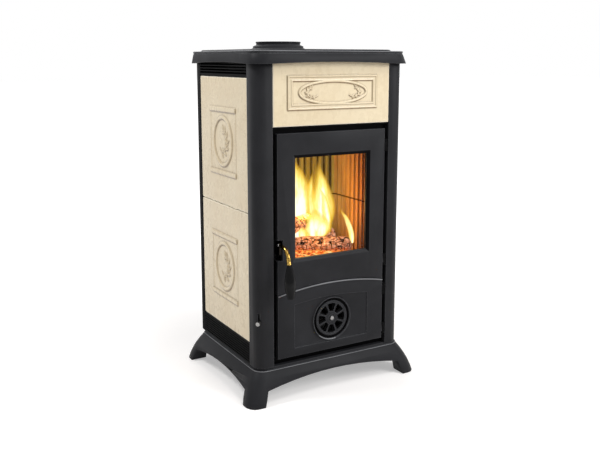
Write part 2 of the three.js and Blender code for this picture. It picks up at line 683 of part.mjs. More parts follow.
sides.forEach(([word, side]) => {
  add(`front_${word}_post`, frontPost(side), ironPaint);
  add(`rear_${word}_post`, rearPost(side), ironPaint);
});

// ---- Tiles ----

// A tile facing -Y, with its back at y = 0: a moulded frame round an oval ring, both in low relief.
function tile(width, height, moulding) {
  const ring = (inset, y) => rectangle(width / 2 - inset, -height / 2 + inset, height / 2 - inset)
    .map(([x, z]) => [x, y, z]);
  const body = loft([ring(0, 0), ring(0, TILE_EDGE - TILE_THICKNESS), ring(TILE_EDGE, -TILE_THICKNESS)]);
  const relief = [-TILE_THICKNESS - TILE_RELIEF, -TILE_THICKNESS / 2];
  const { width: w, height: h, bar, rail, ovalWidth, ovalHeight, ring: bead, drop } = moulding;
  const frame = withHole(
    outline(rectangle(w / 2, -h / 2 - drop, h / 2 - drop)),
    rectangle(w / 2 - bar, rail - h / 2 - drop, h / 2 - rail - drop));
  const oval = withHole(
    outline(ellipse(ovalWidth / 2, ovalHeight / 2, -drop, 36)),
    ellipse(ovalWidth / 2 - bead, ovalHeight / 2 - bead, -drop, 36));
  return join(body, alongY(frame, relief), alongY(oval, relief));
}

function addSideTiles(word, side) {
  const y0 = frontY + POST_SIDE_FACE + TILE_SIDE_GAP;
  const y1 = halfDepth - REAR_POST_FACE - TILE_SIDE_GAP;
  const height = (SIDE_TILE_TOP_Z - SIDE_TILE_BOTTOM_Z - TILE_JOINT) / 2;
  const backX = side * (halfWidth + TILE_PROUD - TILE_THICKNESS);
  [['lower', SIDE_TILE_BOTTOM_Z], ['upper', SIDE_TILE_TOP_Z - height]].forEach(([level, z0]) => {
    const mesh = add(`${word}_${level}_tile`, tile(y1 - y0, height, SIDE_MOULDING), glaze);
    mesh.rotation.z = (side * Math.PI) / 2;
    mesh.position.set(backX, (y0 + y1) / 2, z0 + height / 2);
  });
}

function addFrontTile() {
  const height = frontTileTopZ - FRONT_TILE_BOTTOM_Z;
  const mesh = add('front_tile', tile(2 * (openingHalf - TILE_SIDE_GAP), height, FRONT_MOULDING), glaze);
  mesh.position.set(0, frontY - TILE_PROUD + TILE_THICKNESS, (frontTileTopZ + FRONT_TILE_BOTTOM_Z) / 2);
}

sides.forEach(([word, side]) => addSideTiles(word, side));
addFrontTile();

// ---- Side panels, which carry the side tiles on two lips, and the louvred grilles ----

const panelLow = SIDE_TILE_BOTTOM_Z - SIDE_PANEL_SHEET;
const panelHigh = SIDE_TILE_TOP_Z + SIDE_PANEL_SHEET;
const betweenPostsY = [frontY + POST_SIDE_FACE, halfDepth - REAR_POST_FACE];

function acrossSide(side, x0, x1) {
  return side < 0 ? [-x1, -x0] : [x0, x1];
}

function sidePanel(side) {
  const outerX = halfWidth + TILE_PROUD - TILE_THICKNESS;
  const sheet = block(
    acrossSide(side, outerX - SIDE_PANEL_SHEET, outerX),
    [plateBackY, halfDepth - REAR_POST_WALL - BACK_SHEET],
    [panelLow, panelHigh]);
  const lipX = acrossSide(side, outerX - SIDE_PANEL_SHEET, halfWidth - TILE_PROUD);
  const lipY = [betweenPostsY[0] + GAP, betweenPostsY[1] - GAP];
  return join(
    sheet,
    block(lipX, lipY, [panelLow, SIDE_TILE_BOTTOM_Z]),
    block(lipX, lipY, [SIDE_TILE_TOP_Z + GAP, panelHigh]));
}

function grille(side, z0, z1) {
  const x0 = halfWidth - GRILLE_DEPTH;
  const x1 = halfWidth;
  const y0 = betweenPostsY[0] + GAP;
  const y1 = betweenPostsY[1] - GAP;
  const frame = cut(
    block(acrossSide(side, x0, x1 - 1), [y0, y1], [z0, z1]),
    block(
      acrossSide(side, x0 - 1, x1 + 1),
      [y0 + GRILLE_FRAME, y1 - GRILLE_FRAME],
      [z0 + GRILLE_FRAME, z1 - GRILLE_FRAME]));
  const room = z1 - z0 - 2 * GRILLE_FRAME - SLAT_THICKNESS - SLAT_DROP;
  const spaces = Math.max(1, Math.floor(room / SLAT_PITCH));
  const slats = Array.from({ length: spaces + 1 }, (_, i) => {
    const z = z0 + GRILLE_FRAME + SLAT_DROP + (i * room) / spaces;
    const section = [
      [side * x0, z], [side * x1, z - SLAT_DROP],
      [side * x1, z - SLAT_DROP + SLAT_THICKNESS], [side * x0, z + SLAT_THICKNESS],
    ];
    return alongY(outline(section), [y0 + 1, y1 - 1]);
  });
  return join(frame, ...slats);
}

sides.forEach(([word, side]) => {
  add(`${word}_side_panel`, sidePanel(side), sheetSteel);
  add(`${word}_lower_grille`, grille(side, PLINTH_Z, panelLow - GAP), ironPaint);
  add(`${word}_upper_grille`, grille(side, panelHigh + GAP, PLATE_SEAT_Z), ironPaint);
});

// ---- Back panel ----

function backPanel() {
  const halfX = halfWidth - REAR_POST_WALL - GAP;
  const y1 = halfDepth - REAR_POST_WALL;
  const panel = block([-halfX, halfX], [y1 - BACK_SHEET, y1], [PLINTH_Z, PLATE_SEAT_Z]);
  const slots = [];
  for (let row = 0; row < BACK_SLOT_ROWS; row += 1) {
    for (let column = 0; column < BACK_SLOT_COLUMNS; column += 1) {
      const x = (column - (BACK_SLOT_COLUMNS - 1) / 2) * BACK_SLOT_PITCH_X;
      [BACK_SLOTS_LOW_Z, BACK_SLOTS_HIGH_Z].forEach((z) => {
        const slotZ = z + row * BACK_SLOT_PITCH_Z;
        slots.push(block(
          [x - BACK_SLOT_LENGTH / 2, x + BACK_SLOT_LENGTH / 2],
          [y1 - 2 * BACK_SHEET, y1 + 1],
          [slotZ, slotZ + BACK_SLOT_HEIGHT]));
      });
    }
  }
  return cut(panel, ...slots);
}

add('back_panel', backPanel(), sheetSteel);

// ---- Doors: shared shapes ----

function seamZ(x) {
  return SEAM_CROWN_Z - (SEAM_CROWN_Z - SEAM_END_Z) * (x / doorHalf) ** 2;
}

function seamPoints(halfX, shift, steps = 12) {
  return Array.from({ length: steps + 1 }, (_, i) => {
    const x = halfX * ((2 * i) / steps - 1);
    return [x, seamZ(x) + shift];
  });
}

// A knuckle round the hinge axis, joined to the door's edge.
function knuckle(z0) {
  const z1 = z0 + KNUCKLE_LENGTH;
  const link = block([doorHalf - 2, hingeX], [frontY, hingeY + KNUCKLE_R], [z0, z1]);
  return join(rod(KNUCKLE_R, [hingeX, hingeY, z0], [hingeX, hingeY, z1]), link);
}

function hingeBore(z0) {
  return rod(HINGE_PIN_R + GAP, [hingeX, hingeY, z0 - 1], [hingeX, hingeY, z0 + KNUCKLE_LENGTH + 1]);
}

// The ear on the front plate lies past a knuckle: below the lower one and above the upper one.
function earLow(z0, isUpper) {
  return isUpper ? z0 + KNUCKLE_LENGTH + RUNNING_GAP : z0 - RUNNING_GAP - EAR_LENGTH;
}

function hingeEar(z0, isUpper) {
  const low = earLow(z0, isUpper);
  const high = low + EAR_LENGTH;
  const ear = join(
    rod(KNUCKLE_R, [hingeX, hingeY, low], [hingeX, hingeY, high]),
    block([hingeX - KNUCKLE_R, hingeX + KNUCKLE_R], [hingeY, plateFrontY + 1], [low, high]));
  return cut(ear, rod(HINGE_PIN_R + GAP, [hingeX, hingeY, low - 1], [hingeX, hingeY, high + 1]));
}

function hingePin(z0, isUpper) {
  const low = Math.min(earLow(z0, isUpper), z0);
  const high = low + EAR_LENGTH + RUNNING_GAP + KNUCKLE_LENGTH;
  return rod(HINGE_PIN_R, [hingeX, hingeY, low], [hingeX, hingeY, high]);
}

// A flat ring round a rectangular opening.
function ringAround(halfW, z0, z1, width, ys) {
  const shape = outline(rectangle(halfW + width, z0 - width, z1 + width));
  return alongY(withHole(shape, rectangle(halfW, z0, z1)), ys);
}

function sealRing(half, [z0, z1], width, ys) {
  const inset = SEAL_OFFSET + (SEAL_WIDTH - width) / 2;
  return ringAround(half + inset, z0 - inset, z1 + inset, width, ys);
}

// ---- Fire door ----

const rebateY = doorBackY - WINDOW_REBATE_DEPTH;
const glassHalf = windowHalf + GLASS_LAP;
const glassY = rebateY + GASKET_THICKNESS;
const retainerY = glassY + GLASS_THICKNESS;

function fireDoor() {
  const through = [frontY - 1, doorBackY + 1];
  const face = outline([
    ...seamPoints(doorHalf, SEAM_GAP),
    [doorHalf, fireDoorTopZ],
    [-doorHalf, fireDoorTopZ],
  ]);
  const slab = alongY(face, [frontY, doorBackY]);
  const light = block([-windowHalf, windowHalf], through, [windowBottomZ, windowTopZ]);
  const bevelRing = (out, y) => rectangle(windowHalf + out, windowBottomZ - out, windowTopZ + out)
    .map(([x, z]) => [x, y, z]);
  const bevel = loft([bevelRing(0, frontY + WINDOW_BEVEL_DEPTH), bevelRing(WINDOW_BEVEL, frontY - 0.01)]);
  const lap = RETAINER_LAP + RUNNING_GAP;
  const rebate = block(
    [-windowHalf - lap, windowHalf + lap], [rebateY, doorBackY + 1],
    [windowBottomZ - lap, windowTopZ + lap]);
  const sealSeat = sealRing(
    fireOpeningHalf, fireOpeningZ, SEAL_WIDTH + 2 * GAP, [sealSeatY, doorBackY + 1]);
  const notch = block(
    [-doorHalf - 1, -doorHalf + NOTCH_DEPTH], through, [notchTopZ - NOTCH_HEIGHT, notchTopZ]);
  const pinBore = rod(
    LATCH_PIN_R + GAP, [-doorHalf, latchY, LATCH_PIVOT_Z], [latchPinEndX + 1, latchY, LATCH_PIVOT_Z], 12);
  const [low, high] = fireKnucklesZ;
  return cut(
    join(slab, knuckle(low), knuckle(high)),
    light, bevel, rebate, sealSeat, notch, pinBore, hingeBore(low), hingeBore(high));
}

function addFireDoor() {
  const window = [windowHalf, windowBottomZ, windowTopZ];
  add('fire_door', fireDoor(), ironPaint);
  add('door_seal', sealRing(fireOpeningHalf, fireOpeningZ, SEAL_WIDTH, [sealSeatY, plateFrontY - GAP]), rope);
  add('glass_gasket', ringAround(...window, GLASS_LAP, [rebateY, glassY]), rope);
  add('door_glass', block(
    [-glassHalf, glassHalf], [glassY, retainerY],
    [windowBottomZ - GLASS_LAP, windowTopZ + GLASS_LAP]), clearGlass);
  add('glass_retainer', ringAround(...window, RETAINER_LAP, [retainerY, doorBackY]), sheetSteel);
}

addFireDoor();

// ---- Handle and latch ----

function latchPin() {
  const head = latchX - LATCH_HUB_LENGTH / 2 - GAP;
  const along = (radius, x0, x1) => rod(radius, [x0, latchY, LATCH_PIVOT_Z], [x1, latchY, LATCH_PIVOT_Z], 12);
  return join(
    along(LATCH_PIN_R, head - LATCH_PIN_HEAD_HEIGHT / 2, latchPinEndX),
    along(LATCH_PIN_R + LATCH_PIN_HEAD_OUT, head - LATCH_PIN_HEAD_HEIGHT, head));
}

const gripTop = new THREE.Vector3(latchX, frontY - GRIP_STANDOFF, LATCH_PIVOT_Z - GRIP_TOP_DROP);
const gripAxis = new THREE.Vector3(0, -GRIP_LEAN, -GRIP_LENGTH);

// Hub on the pin, curved neck forward to the grip, and a hook down and back through the notch.
function handleNeck() {
  const onPath = (outwards, down) => new THREE.Vector3(
    latchX, frontY - GRIP_STANDOFF * outwards, LATCH_PIVOT_Z - GRIP_TOP_DROP * down);
  const pivot = new THREE.Vector3(latchX, latchY, LATCH_PIVOT_Z);
  const end = gripTop.clone().addScaledVector(gripAxis, 0.1);
  const path = new THREE.CatmullRomCurve3([pivot, onPath(0.5, 0.13), onPath(0.88, 0.5), end]);
  const section = outline(ellipse(NECK_R, NECK_R, 0, 10));
  const neck = new THREE.ExtrudeGeometry(section, { steps: 12, bevelEnabled: false, extrudePath: path });
  const across = (radius, half) => rod(
    radius, [latchX - half, latchY, LATCH_PIVOT_Z], [latchX + half, latchY, LATCH_PIVOT_Z]);
  const hub = across(LATCH_HUB_R, LATCH_HUB_LENGTH / 2);
  const bore = across(LATCH_PIN_R + GAP, LATCH_HUB_LENGTH);
  const armX = [latchX - LATCH_ARM / 2, latchX + LATCH_ARM / 2];
  const hookZ = [hookTopZ - LATCH_ARM, hookTopZ];
  const tail = block(armX, [latchY - LATCH_ARM / 2, latchY + LATCH_ARM / 2], [hookZ[0], LATCH_PIVOT_Z]);
  const hook = block(armX, [latchY, hookTipY], hookZ);
  const nose = block(armX, [hookTipY - LATCH_NOSE, hookTipY], [hookZ[0], hookTopZ + LATCH_NOSE]);
  const gripRoom = block(
    [latchX - GRIP_HALF_WIDTH, latchX + GRIP_HALF_WIDTH],
    [end.y - GRIP_HALF_DEPTH, end.y + GRIP_HALF_DEPTH],
    [gripTop.z - GRIP_LENGTH, gripTop.z + GAP]);
  return cut(join(neck, hub, tail, hook, nose), bore, gripRoom);
}

// The grip swells below its middle and narrows again; it is wider across than deep.
function handleGrip() {
  const stations = [
    [0, 0.42], [0.1, 0.55], [0.3, 0.82], [0.5, 1], [0.68, 0.97], [0.88, 0.74], [0.97, 0.58], [1, 0.45],
  ];
  const rings = stations.map(([t, size]) => {
    const centre = gripTop.clone().addScaledVector(gripAxis, t);
    return ellipse(GRIP_HALF_WIDTH * size, GRIP_HALF_DEPTH * size, 0, 16)
      .map(([x, y]) => [centre.x + x, centre.y + y, centre.z]);
  });
  return loft(rings.reverse());
}

function latchKeeper() {
  const y1 = hookTipY + KEEPER_ROOM;
  const shellOf = (wall) => block(
    [latchX - hookSlotHalf - wall, latchX + hookSlotHalf + wall],
    [wall ? plateBackY : plateBackY - 1, y1 + wall],
    [hookSlotZ[0] - wall, hookSlotZ[1] + LATCH_NOSE + wall]);
  return cut(shellOf(KEEPER_WALL), shellOf(0));
}

add('latch_pin', latchPin(), brightSteel);
add('handle_neck', handleNeck(), brass);
add('handle_grip', handleGrip(), blackGrip);
add('latch_keeper', latchKeeper(), sheetSteel);

// ---- Ash door and its rosette ----

const rosetteSeatY = frontY + ROSETTE_SEAT_DEPTH;
const rosetteBackY = rosetteSeatY - GAP;
const rosetteFrontY = rosetteBackY - ROSETTE_THICKNESS;

// A round bar on the rosette's axis.
function rosetteRod(radius, y0, y1, sides = 12) {
  return rod(radius, [0, y0, ROSETTE_Z], [0, y1, ROSETTE_Z], sides);
}

function rosetteWindows([y0, y1]) {
  return Array.from({ length: ROSETTE_WINDOWS }, (_, i) => {
    const middle = (360 * i) / ROSETTE_WINDOWS;
    const from = middle - ROSETTE_WINDOW_ARC / 2;
    const to = middle + ROSETTE_WINDOW_ARC / 2;
    const sector = outline([
      ...arcPoints(0, ROSETTE_Z, ROSETTE_WINDOW_OUT_R, from, to, 4),
      ...arcPoints(0, ROSETTE_Z, ROSETTE_WINDOW_IN_R, to, from, 3),
    ]);
    return alongY(sector, [y0, y1]);
  });
}

function ashDoor() {
  const face = outline([
    [-doorHalf, ashDoorBottomZ],
    [doorHalf, ashDoorBottomZ],
    ...seamPoints(doorHalf, 0).reverse(),
  ]);
  const slab = alongY(face, [frontY, doorBackY]);
  const panelHalf = doorHalf - ASH_PANEL_SIDE_MARGIN;
  const panel = alongY(outline([
    [-panelHalf, ashDoorBottomZ + ASH_PANEL_BOTTOM_MARGIN],
    [panelHalf, ashDoorBottomZ + ASH_PANEL_BOTTOM_MARGIN],
    ...seamPoints(panelHalf, -ASH_PANEL_TOP_MARGIN).reverse(),
  ]), [frontY - 1, frontY + ASH_PANEL_DEPTH]);
  const seat = rosetteRod(ROSETTE_SEAT_R, frontY - 1, rosetteSeatY, 40);
  const screwBore = rosetteRod(ROSETTE_SCREW_R + GAP, frontY, doorBackY + 1);
  const sealSeat = sealRing(
    ashOpeningHalf, ashOpeningZ, SEAL_WIDTH + 2 * GAP, [sealSeatY, doorBackY + 1]);
  const [low, high] = ashKnucklesZ;
  return cut(
    join(slab, knuckle(low), knuckle(high)),
    panel, seat, screwBore, sealSeat, hingeBore(low), hingeBore(high),
    ...rosetteWindows([rosetteSeatY - 1, doorBackY + 1]));
}

function rosette() {
  const disc = rosetteRod(ROSETTE_R, rosetteFrontY, rosetteBackY, 40);
  const bore = rosetteRod(ROSETTE_SCREW_R + GAP, rosetteFrontY - 1, rosetteBackY + 1);
  return cut(disc, bore, ...rosetteWindows([rosetteFrontY - 1, rosetteBackY + 1]));
}

function rosetteScrew() {
  const headY = rosetteFrontY - GAP;
  return join(
    rosetteRod(ROSETTE_SCREW_R, headY - ROSETTE_HEAD_HEIGHT / 2, doorBackY - GAP),
    rosetteRod(ROSETTE_HEAD_R, headY - ROSETTE_HEAD_HEIGHT, headY));
}

function ashDoorCatch() {
  const x = -doorHalf + CATCH_EDGE;
  return block(
    [x, x + CATCH_WIDTH], [doorBackY + GAP, plateFrontY],
    [ROSETTE_Z - CATCH_HEIGHT / 2, ROSETTE_Z + CATCH_HEIGHT / 2]);
}

add('ash_door', ashDoor(), ironPaint);
add('ash_door_seal', sealRing(ashOpeningHalf, ashOpeningZ, SEAL_WIDTH, [sealSeatY, plateFrontY - GAP]), rope);
add('ash_door_catch', ashDoorCatch(), sheetSteel);
add('rosette', rosette(), ironPaint);
add('rosette_screw', rosetteScrew(), brightSteel);

[['fire_door', fireKnucklesZ], ['ash_door', ashKnucklesZ]].forEach(([door, [low, high]]) => {
  add(`${door}_lower_pin`, hingePin(low, false), brightSteel);
  add(`${door}_upper_pin`, hingePin(high, true), brightSteel);
});

// ---- Front plate ----

function frontPlate() {
  const plate = block([-plateHalf, plateHalf], [plateFrontY, plateBackY], [PLINTH_Z, PLATE_SEAT_Z]);
  const through = [plateFrontY - 1, plateBackY + 1];
  const tileBackY = frontY - TILE_PROUD + TILE_THICKNESS;
  const ledgeHalf = openingHalf - GAP;
  const ledge = block(
    [-ledgeHalf, ledgeHalf], [tileBackY - TILE_THICKNESS / 2, plateFrontY + 1],
    [FRONT_TILE_BOTTOM_Z - TILE_LEDGE_HEIGHT, FRONT_TILE_BOTTOM_Z]);
  const bossZ = (FRONT_TILE_BOTTOM_Z + frontTileTopZ) / 2;
  const boss = block(
    [-TILE_BOSS_WIDTH / 2, TILE_BOSS_WIDTH / 2], [tileBackY, plateFrontY + 1],
    [bossZ - TILE_BOSS_HEIGHT / 2, bossZ + TILE_BOSS_HEIGHT / 2]);
  const fireOpening = block([-fireOpeningHalf, fireOpeningHalf], through, fireOpeningZ);
  const ashOpening = block([-ashOpeningHalf, ashOpeningHalf], through, ashOpeningZ);
  const hookSlot = block([latchX - hookSlotHalf, latchX + hookSlotHalf], through, hookSlotZ);
  const sliderRoom = block(
    [-plateHalf - 1, -plateHalf + AIR_SLIDER_WIDTH], through,
    [airSliderZ[0] - AIR_END_ROOM, airSliderZ[1] + AIR_TRAVEL + AIR_END_ROOM]);
  const ears = [fireKnucklesZ, ashKnucklesZ]
    .flatMap(([low, high]) => [hingeEar(low, false), hingeEar(high, true)]);
  return cut(join(plate, ledge, boss, ...ears), fireOpening, ashOpening, hookSlot, sliderRoom);
}

add('front_plate', frontPlate(), ironPaint);

// ---- Firebox ----

// The shell is four plates: two sides, a bent floor and back, and a roof. Its side profile is upright
// over the ash box and the fire, then steps back to a smoke chamber under the flue collar.
function shellProfile(wall) {
  const back = shellBackY - wall;
  const chamberBack = chamberBackY - wall;
  const slope = CHAMBER_STEP / (chamberBackY - shellBackY);
  const shift = wall * (Math.sqrt(1 + slope * slope) - slope);
  return outline([
    [wall ? plateBackY - 1 : plateBackY, PLINTH_Z + wall],
    [back, PLINTH_Z + wall],
    [back, CHAMBER_FLOOR_Z - CHAMBER_STEP + shift],
    [chamberBack, CHAMBER_FLOOR_Z + shift],
    [chamberBack, shellTopZ - wall],
    [wall ? plateBackY - 1 : plateBackY, shellTopZ - wall],
  ]);
}

// One side plate of the shell, with the ledge under the hearth plate and the peg under the baffle.
function shellSide(side) {
  const inner = shellHalf - SHELL_WALL;
  const intoPlate = acrossSide(side, inner - SHELL_LEDGE, inner + SHELL_WALL / 2);
  const plate = alongX(shellProfile(0), acrossSide(side, inner, shellHalf));
  const ledge = block(intoPlate, [plateBackY, liningBackY],
    [HEARTH_Z - HEARTH_THICKNESS - SHELL_WALL, HEARTH_Z - HEARTH_THICKNESS]);
  const peg = block(intoPlate, [baffleFrontY, baffleFrontY + 2 * SHELL_WALL],
    [baffleFrontZ - 3 * SHELL_WALL, baffleFrontZ - baffleSlope * 2 * SHELL_WALL - GAP]);
  return join(plate, ledge, peg);
}

// The shell's floor and back in one bent plate, with the drawer's runners.
function fireboxShell() {
  const sheet = [-shellBetween, shellBetween];
  const past = [-shellBetween - 1, shellBetween + 1];
  const bent = cut(
    alongX(shellProfile(0), sheet),
    alongX(shellProfile(SHELL_WALL), past),
    block(past, [plateBackY - 1, chamberBackY + 1], [shellTopZ - SHELL_WALL - GAP, shellTopZ + 1]));
  const runnerOut = ashOpeningHalf - DRAWER_SIDE_GAP;
  const runners = sides.map(([, side]) => block(
    acrossSide(side, runnerOut - RUNNER_WIDTH, runnerOut), [plateBackY, liningBackY],
    [PLINTH_Z + SHELL_WALL / 2, ashOpeningZ[0]]));
  return join(bent, ...runners);
}

// The smoke chamber's roof, open under the collar.
function shellRoof() {
  const half = SMOKE_HOLE_SIDE / 2;
  const low = shellTopZ - SHELL_WALL;
  return cut(
    block([-shellBetween, shellBetween], [plateBackY, chamberBackY], [low, shellTopZ]),
    block([-half, half], [collarY - half, collarY + half], [low - 1, shellTopZ + 1]));
}

const baffleFrontY = plateBackY + BAFFLE_PASSAGE;
const baffleFrontZ = LINING_TOP_Z + GAP + BAFFLE_RISE;
const baffleSlope = BAFFLE_RISE / (liningBackY - baffleFrontY);

function bafflePlate() {
  return alongX(outline([
    [liningBackY, LINING_TOP_Z + GAP],
    [liningBackY, LINING_TOP_Z + GAP + BAFFLE_THICKNESS],
    [baffleFrontY, baffleFrontZ + BAFFLE_THICKNESS],
    [baffleFrontY, baffleFrontZ],
  ]), [-liningOuterX, liningOuterX]);
}

function hearthPlate() {
  const z = [HEARTH_Z - HEARTH_THICKNESS, HEARTH_Z];
  const plate = block([-liningOuterX, liningOuterX], [plateBackY + GAP, liningBackY], z);
  const opening = (half, depth, low) => block(
    [-half, half], [grateY - depth, grateY + depth], [low, HEARTH_Z + 1]);
  const lapW = GRATE_WIDTH / 2 - GRATE_LAP;
  const lapD = GRATE_DEPTH / 2 - GRATE_LAP;
  return cut(
    plate,
    opening(lapW, lapD, z[0] - 1),
    opening(GRATE_WIDTH / 2 + RUNNING_GAP, GRATE_DEPTH / 2 + RUNNING_GAP, grateTopZ - GRATE_THICKNESS));
}

function grate() {
  const halfW = GRATE_WIDTH / 2;
  const halfD = GRATE_DEPTH / 2;
  const z = [grateTopZ - GRATE_THICKNESS, grateTopZ];
  const plate = block([-halfW, halfW], [grateY - halfD, grateY + halfD], z);
  const count = Math.max(1, Math.floor((GRATE_WIDTH - 2 * GRATE_LAP) / GRATE_BAR_PITCH));
  const slots = Array.from({ length: count }, (_, i) => {
    const x = (i - (count - 1) / 2) * GRATE_BAR_PITCH;
    return block(
      [x - GRATE_SLOT / 2, x + GRATE_SLOT / 2],
      [grateY - halfD + 2 * GRATE_LAP, grateY + halfD - 2 * GRATE_LAP], [z[0] - 1, z[1] + 1]);
  });
  return cut(plate, ...slots);
}

// Flutes along a straight face: pairs of distance along the face and depth into it.
function flutes(length) {
  const count = Math.max(1, Math.round(length / FLUTE_PITCH));
  const pitch = length / count;
  const profile = [[0, 0], [0.12, 0.75], [0.3, 1], [0.7, 1], [0.88, 0.75]];
  const points = [];
  for (let i = 0; i < count; i += 1) {
    profile.forEach(([along, depth]) => points.push([(i + along) * pitch, depth * FLUTE_DEPTH]));
  }
  points.push([length, 0]);
  return points;
}

function sideLining(side, zs) {
  const length = hearthBackY - GAP - liningFrontY;
  const face = flutes(length).map(([along, depth]) => [-(liningInnerX + depth), liningFrontY + along]);
  const section = [[-liningOuterX, liningFrontY + length], [-liningOuterX, liningFrontY], ...face];
  return alongZ(outline(mirrored(section, side)), zs);
}

function backLining(zs) {
  const half = liningOuterX;
  const faceHalf = liningInnerX - GAP;
  const face = flutes(2 * faceHalf).map(([along, depth]) => [along - faceHalf, hearthBackY + depth]);
  return alongZ(outline([
    [half, liningBackY], [-half, liningBackY], [-half, hearthBackY], ...face, [half, hearthBackY],
  ]), zs);
}

function addFirebox() {
  add('firebox_shell', fireboxShell(), sheetSteel);
  sides.forEach(([word, side]) => add(`shell_${word}_side`, shellSide(side), sheetSteel));
  add('shell_roof', shellRoof(), sheetSteel);
  add('hearth_plate', hearthPlate(), rawIron);
  add('grate', grate(), rawIron);
  add('baffle_plate', bafflePlate(), refractory);
  const levels = [['lower', [HEARTH_Z, LINING_JOINT_Z]], ['upper', [LINING_JOINT_Z + GAP, LINING_TOP_Z]]];
  levels.forEach(([level, zs]) => {
    add(`back_${level}_lining`, backLining(zs), refractory);
    sides.forEach(([word, side]) => add(`${word}_${level}_lining`, sideLining(side, zs), refractory));
  });
}

addFirebox();

// ---- Ash drawer ----

function ashDrawer() {
  const half = ashOpeningHalf - DRAWER_SIDE_GAP;
  const y0 = plateBackY + DRAWER_FRONT_GAP;
  const y1 = shellBackY - SHELL_WALL - DRAWER_BACK_GAP;
  const low = ashOpeningZ[0] + GAP;
  const tray = block([-half, half], [y0, y1], [low, low + DRAWER_HEIGHT]);
  return cut(tray, block(
    [-half + DRAWER_WALL, half - DRAWER_WALL],
    [y0 + DRAWER_WALL, y1 - DRAWER_WALL],
    [low + DRAWER_WALL, low + DRAWER_HEIGHT + 1]));
}

add('ash_drawer', ashDrawer(), sheetSteel);

// ---- Secondary-air lever ----

// A point at a distance from the left front post's corner centre, straight out of the corner.
function outOfCorner(distance) {
  const reach = distance * Math.SQRT1_2;
  return [postCentre.x - reach, postCentre.y - reach, AIR_LEVER_Z];
}

function airLever() {
  const inner = postInnerR - RUNNING_GAP - AIR_SLIDER_SHEET - AIR_STEM_PAST;
  return join(
    rod(AIR_STEM_R, outOfCorner(inner), outOfCorner(POST_R + 1), 10),
    rod(AIR_KNOB_R, outOfCorner(POST_R + GAP), outOfCorner(POST_R + GAP + AIR_KNOB_LENGTH), 12));
}

// A strip behind the post's corner that opens and shuts the air way.
function airSlider() {
  const half = AIR_SLIDER_WIDTH / 2;
  const outer = Math.sqrt((postInnerR - RUNNING_GAP) ** 2 - half ** 2);
  const strip = block(
    [-outer, -outer + AIR_SLIDER_SHEET], [-half, half], airSliderZ);
  strip.rotateZ(Math.PI / 4).translate(postCentre.x, postCentre.y, 0);
  return cut(strip, rod(AIR_STEM_R + GAP, outOfCorner(0), outOfCorner(POST_R), 10));
}

add('air_lever', airLever(), brightSteel);
add('air_slider', airSlider(), sheetSteel);

// ---- Fire contents ----

function emberBed() {
  const steps = 28;
  const halfWide = liningInnerX - EMBER_SIDE_ROOM;
  const halfDeep = (hearthBackY - liningFrontY) / 2 - EMBER_END_ROOM;
  const bumps = (angle, k) => 1 + 0.05 * Math.sin(3 * angle + k) + 0.04 * Math.sin(7 * angle + 2 * k);
  const levels = [[1, 0], [0.97, 0.35], [0.82, 0.7], [0.5, 0.92], [0.18, 1]];
  return loft(levels.map(([size, height], k) => Array.from({ length: steps }, (_, i) => {
    const angle = (2 * Math.PI * i) / steps;
    const reach = size * bumps(angle, k);
    return [
      halfWide * reach * Math.cos(angle),
      grateY + halfDeep * reach * Math.sin(angle),
      grateTopZ + EMBER_HEIGHT * height,
    ];
  })));
}

function onHearth(x, y, z) {
  return new THREE.Vector3(
    x < 0 ? liningInnerX + x : x - liningInnerX,
    y < 0 ? hearthBackY + y : liningFrontY + y,
    z);
}

// A level log between its two ends, which are chamfered.
function log({ fromX, fromY, toX, toY }, z, radius) {
  const start = onHearth(fromX, fromY, z);
  const end = onHearth(toX, toY, z);
  const axis = end.clone().sub(start).normalize();
  const across = new THREE.Vector3(0, 0, 1).cross(axis).normalize();
  const up = axis.clone().cross(across);
  const rings = [[0, 0.85], [0.05, 1], [0.95, 1], [1, 0.85]].map(([t, size]) => {
    const centre = start.clone().lerp(end, t);
    return ellipse(radius * size, radius * size, 0, 12)
      .map(([a, b]) => centre.clone().addScaledVector(across, a).addScaledVector(up, b).toArray());
  });
  return loft(rings);
}

function addFire() {
  const lowZ = grateTopZ + EMBER_HEIGHT + GAP + LOG_R;
  const upperZ = lowZ + LOG_R + GAP + UPPER_LOG_R;
  add('ember_bed', emberBed(), embers);
  add('front_log', log(FRONT_LOG, lowZ, LOG_R), charredWood);
  add('back_log', log(BACK_LOG, lowZ, LOG_R), charredWood);
  add('upper_log', log(UPPER_LOG, upperZ, UPPER_LOG_R), charredWood);
}

addFire();

// The origin is the middle of the whole stove's footprint, handle included, on the floor.
const extent = new THREE.Box3().setFromObject(stove);
stove.position.set(0, -(extent.min.y + extent.max.y) / 2, -extent.min.z);

export default stove;
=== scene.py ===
"""The looks of the tiled wood stove, in metres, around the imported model."""
import json
import math

import bmesh
import bpy
import numpy as np
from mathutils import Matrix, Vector, noise

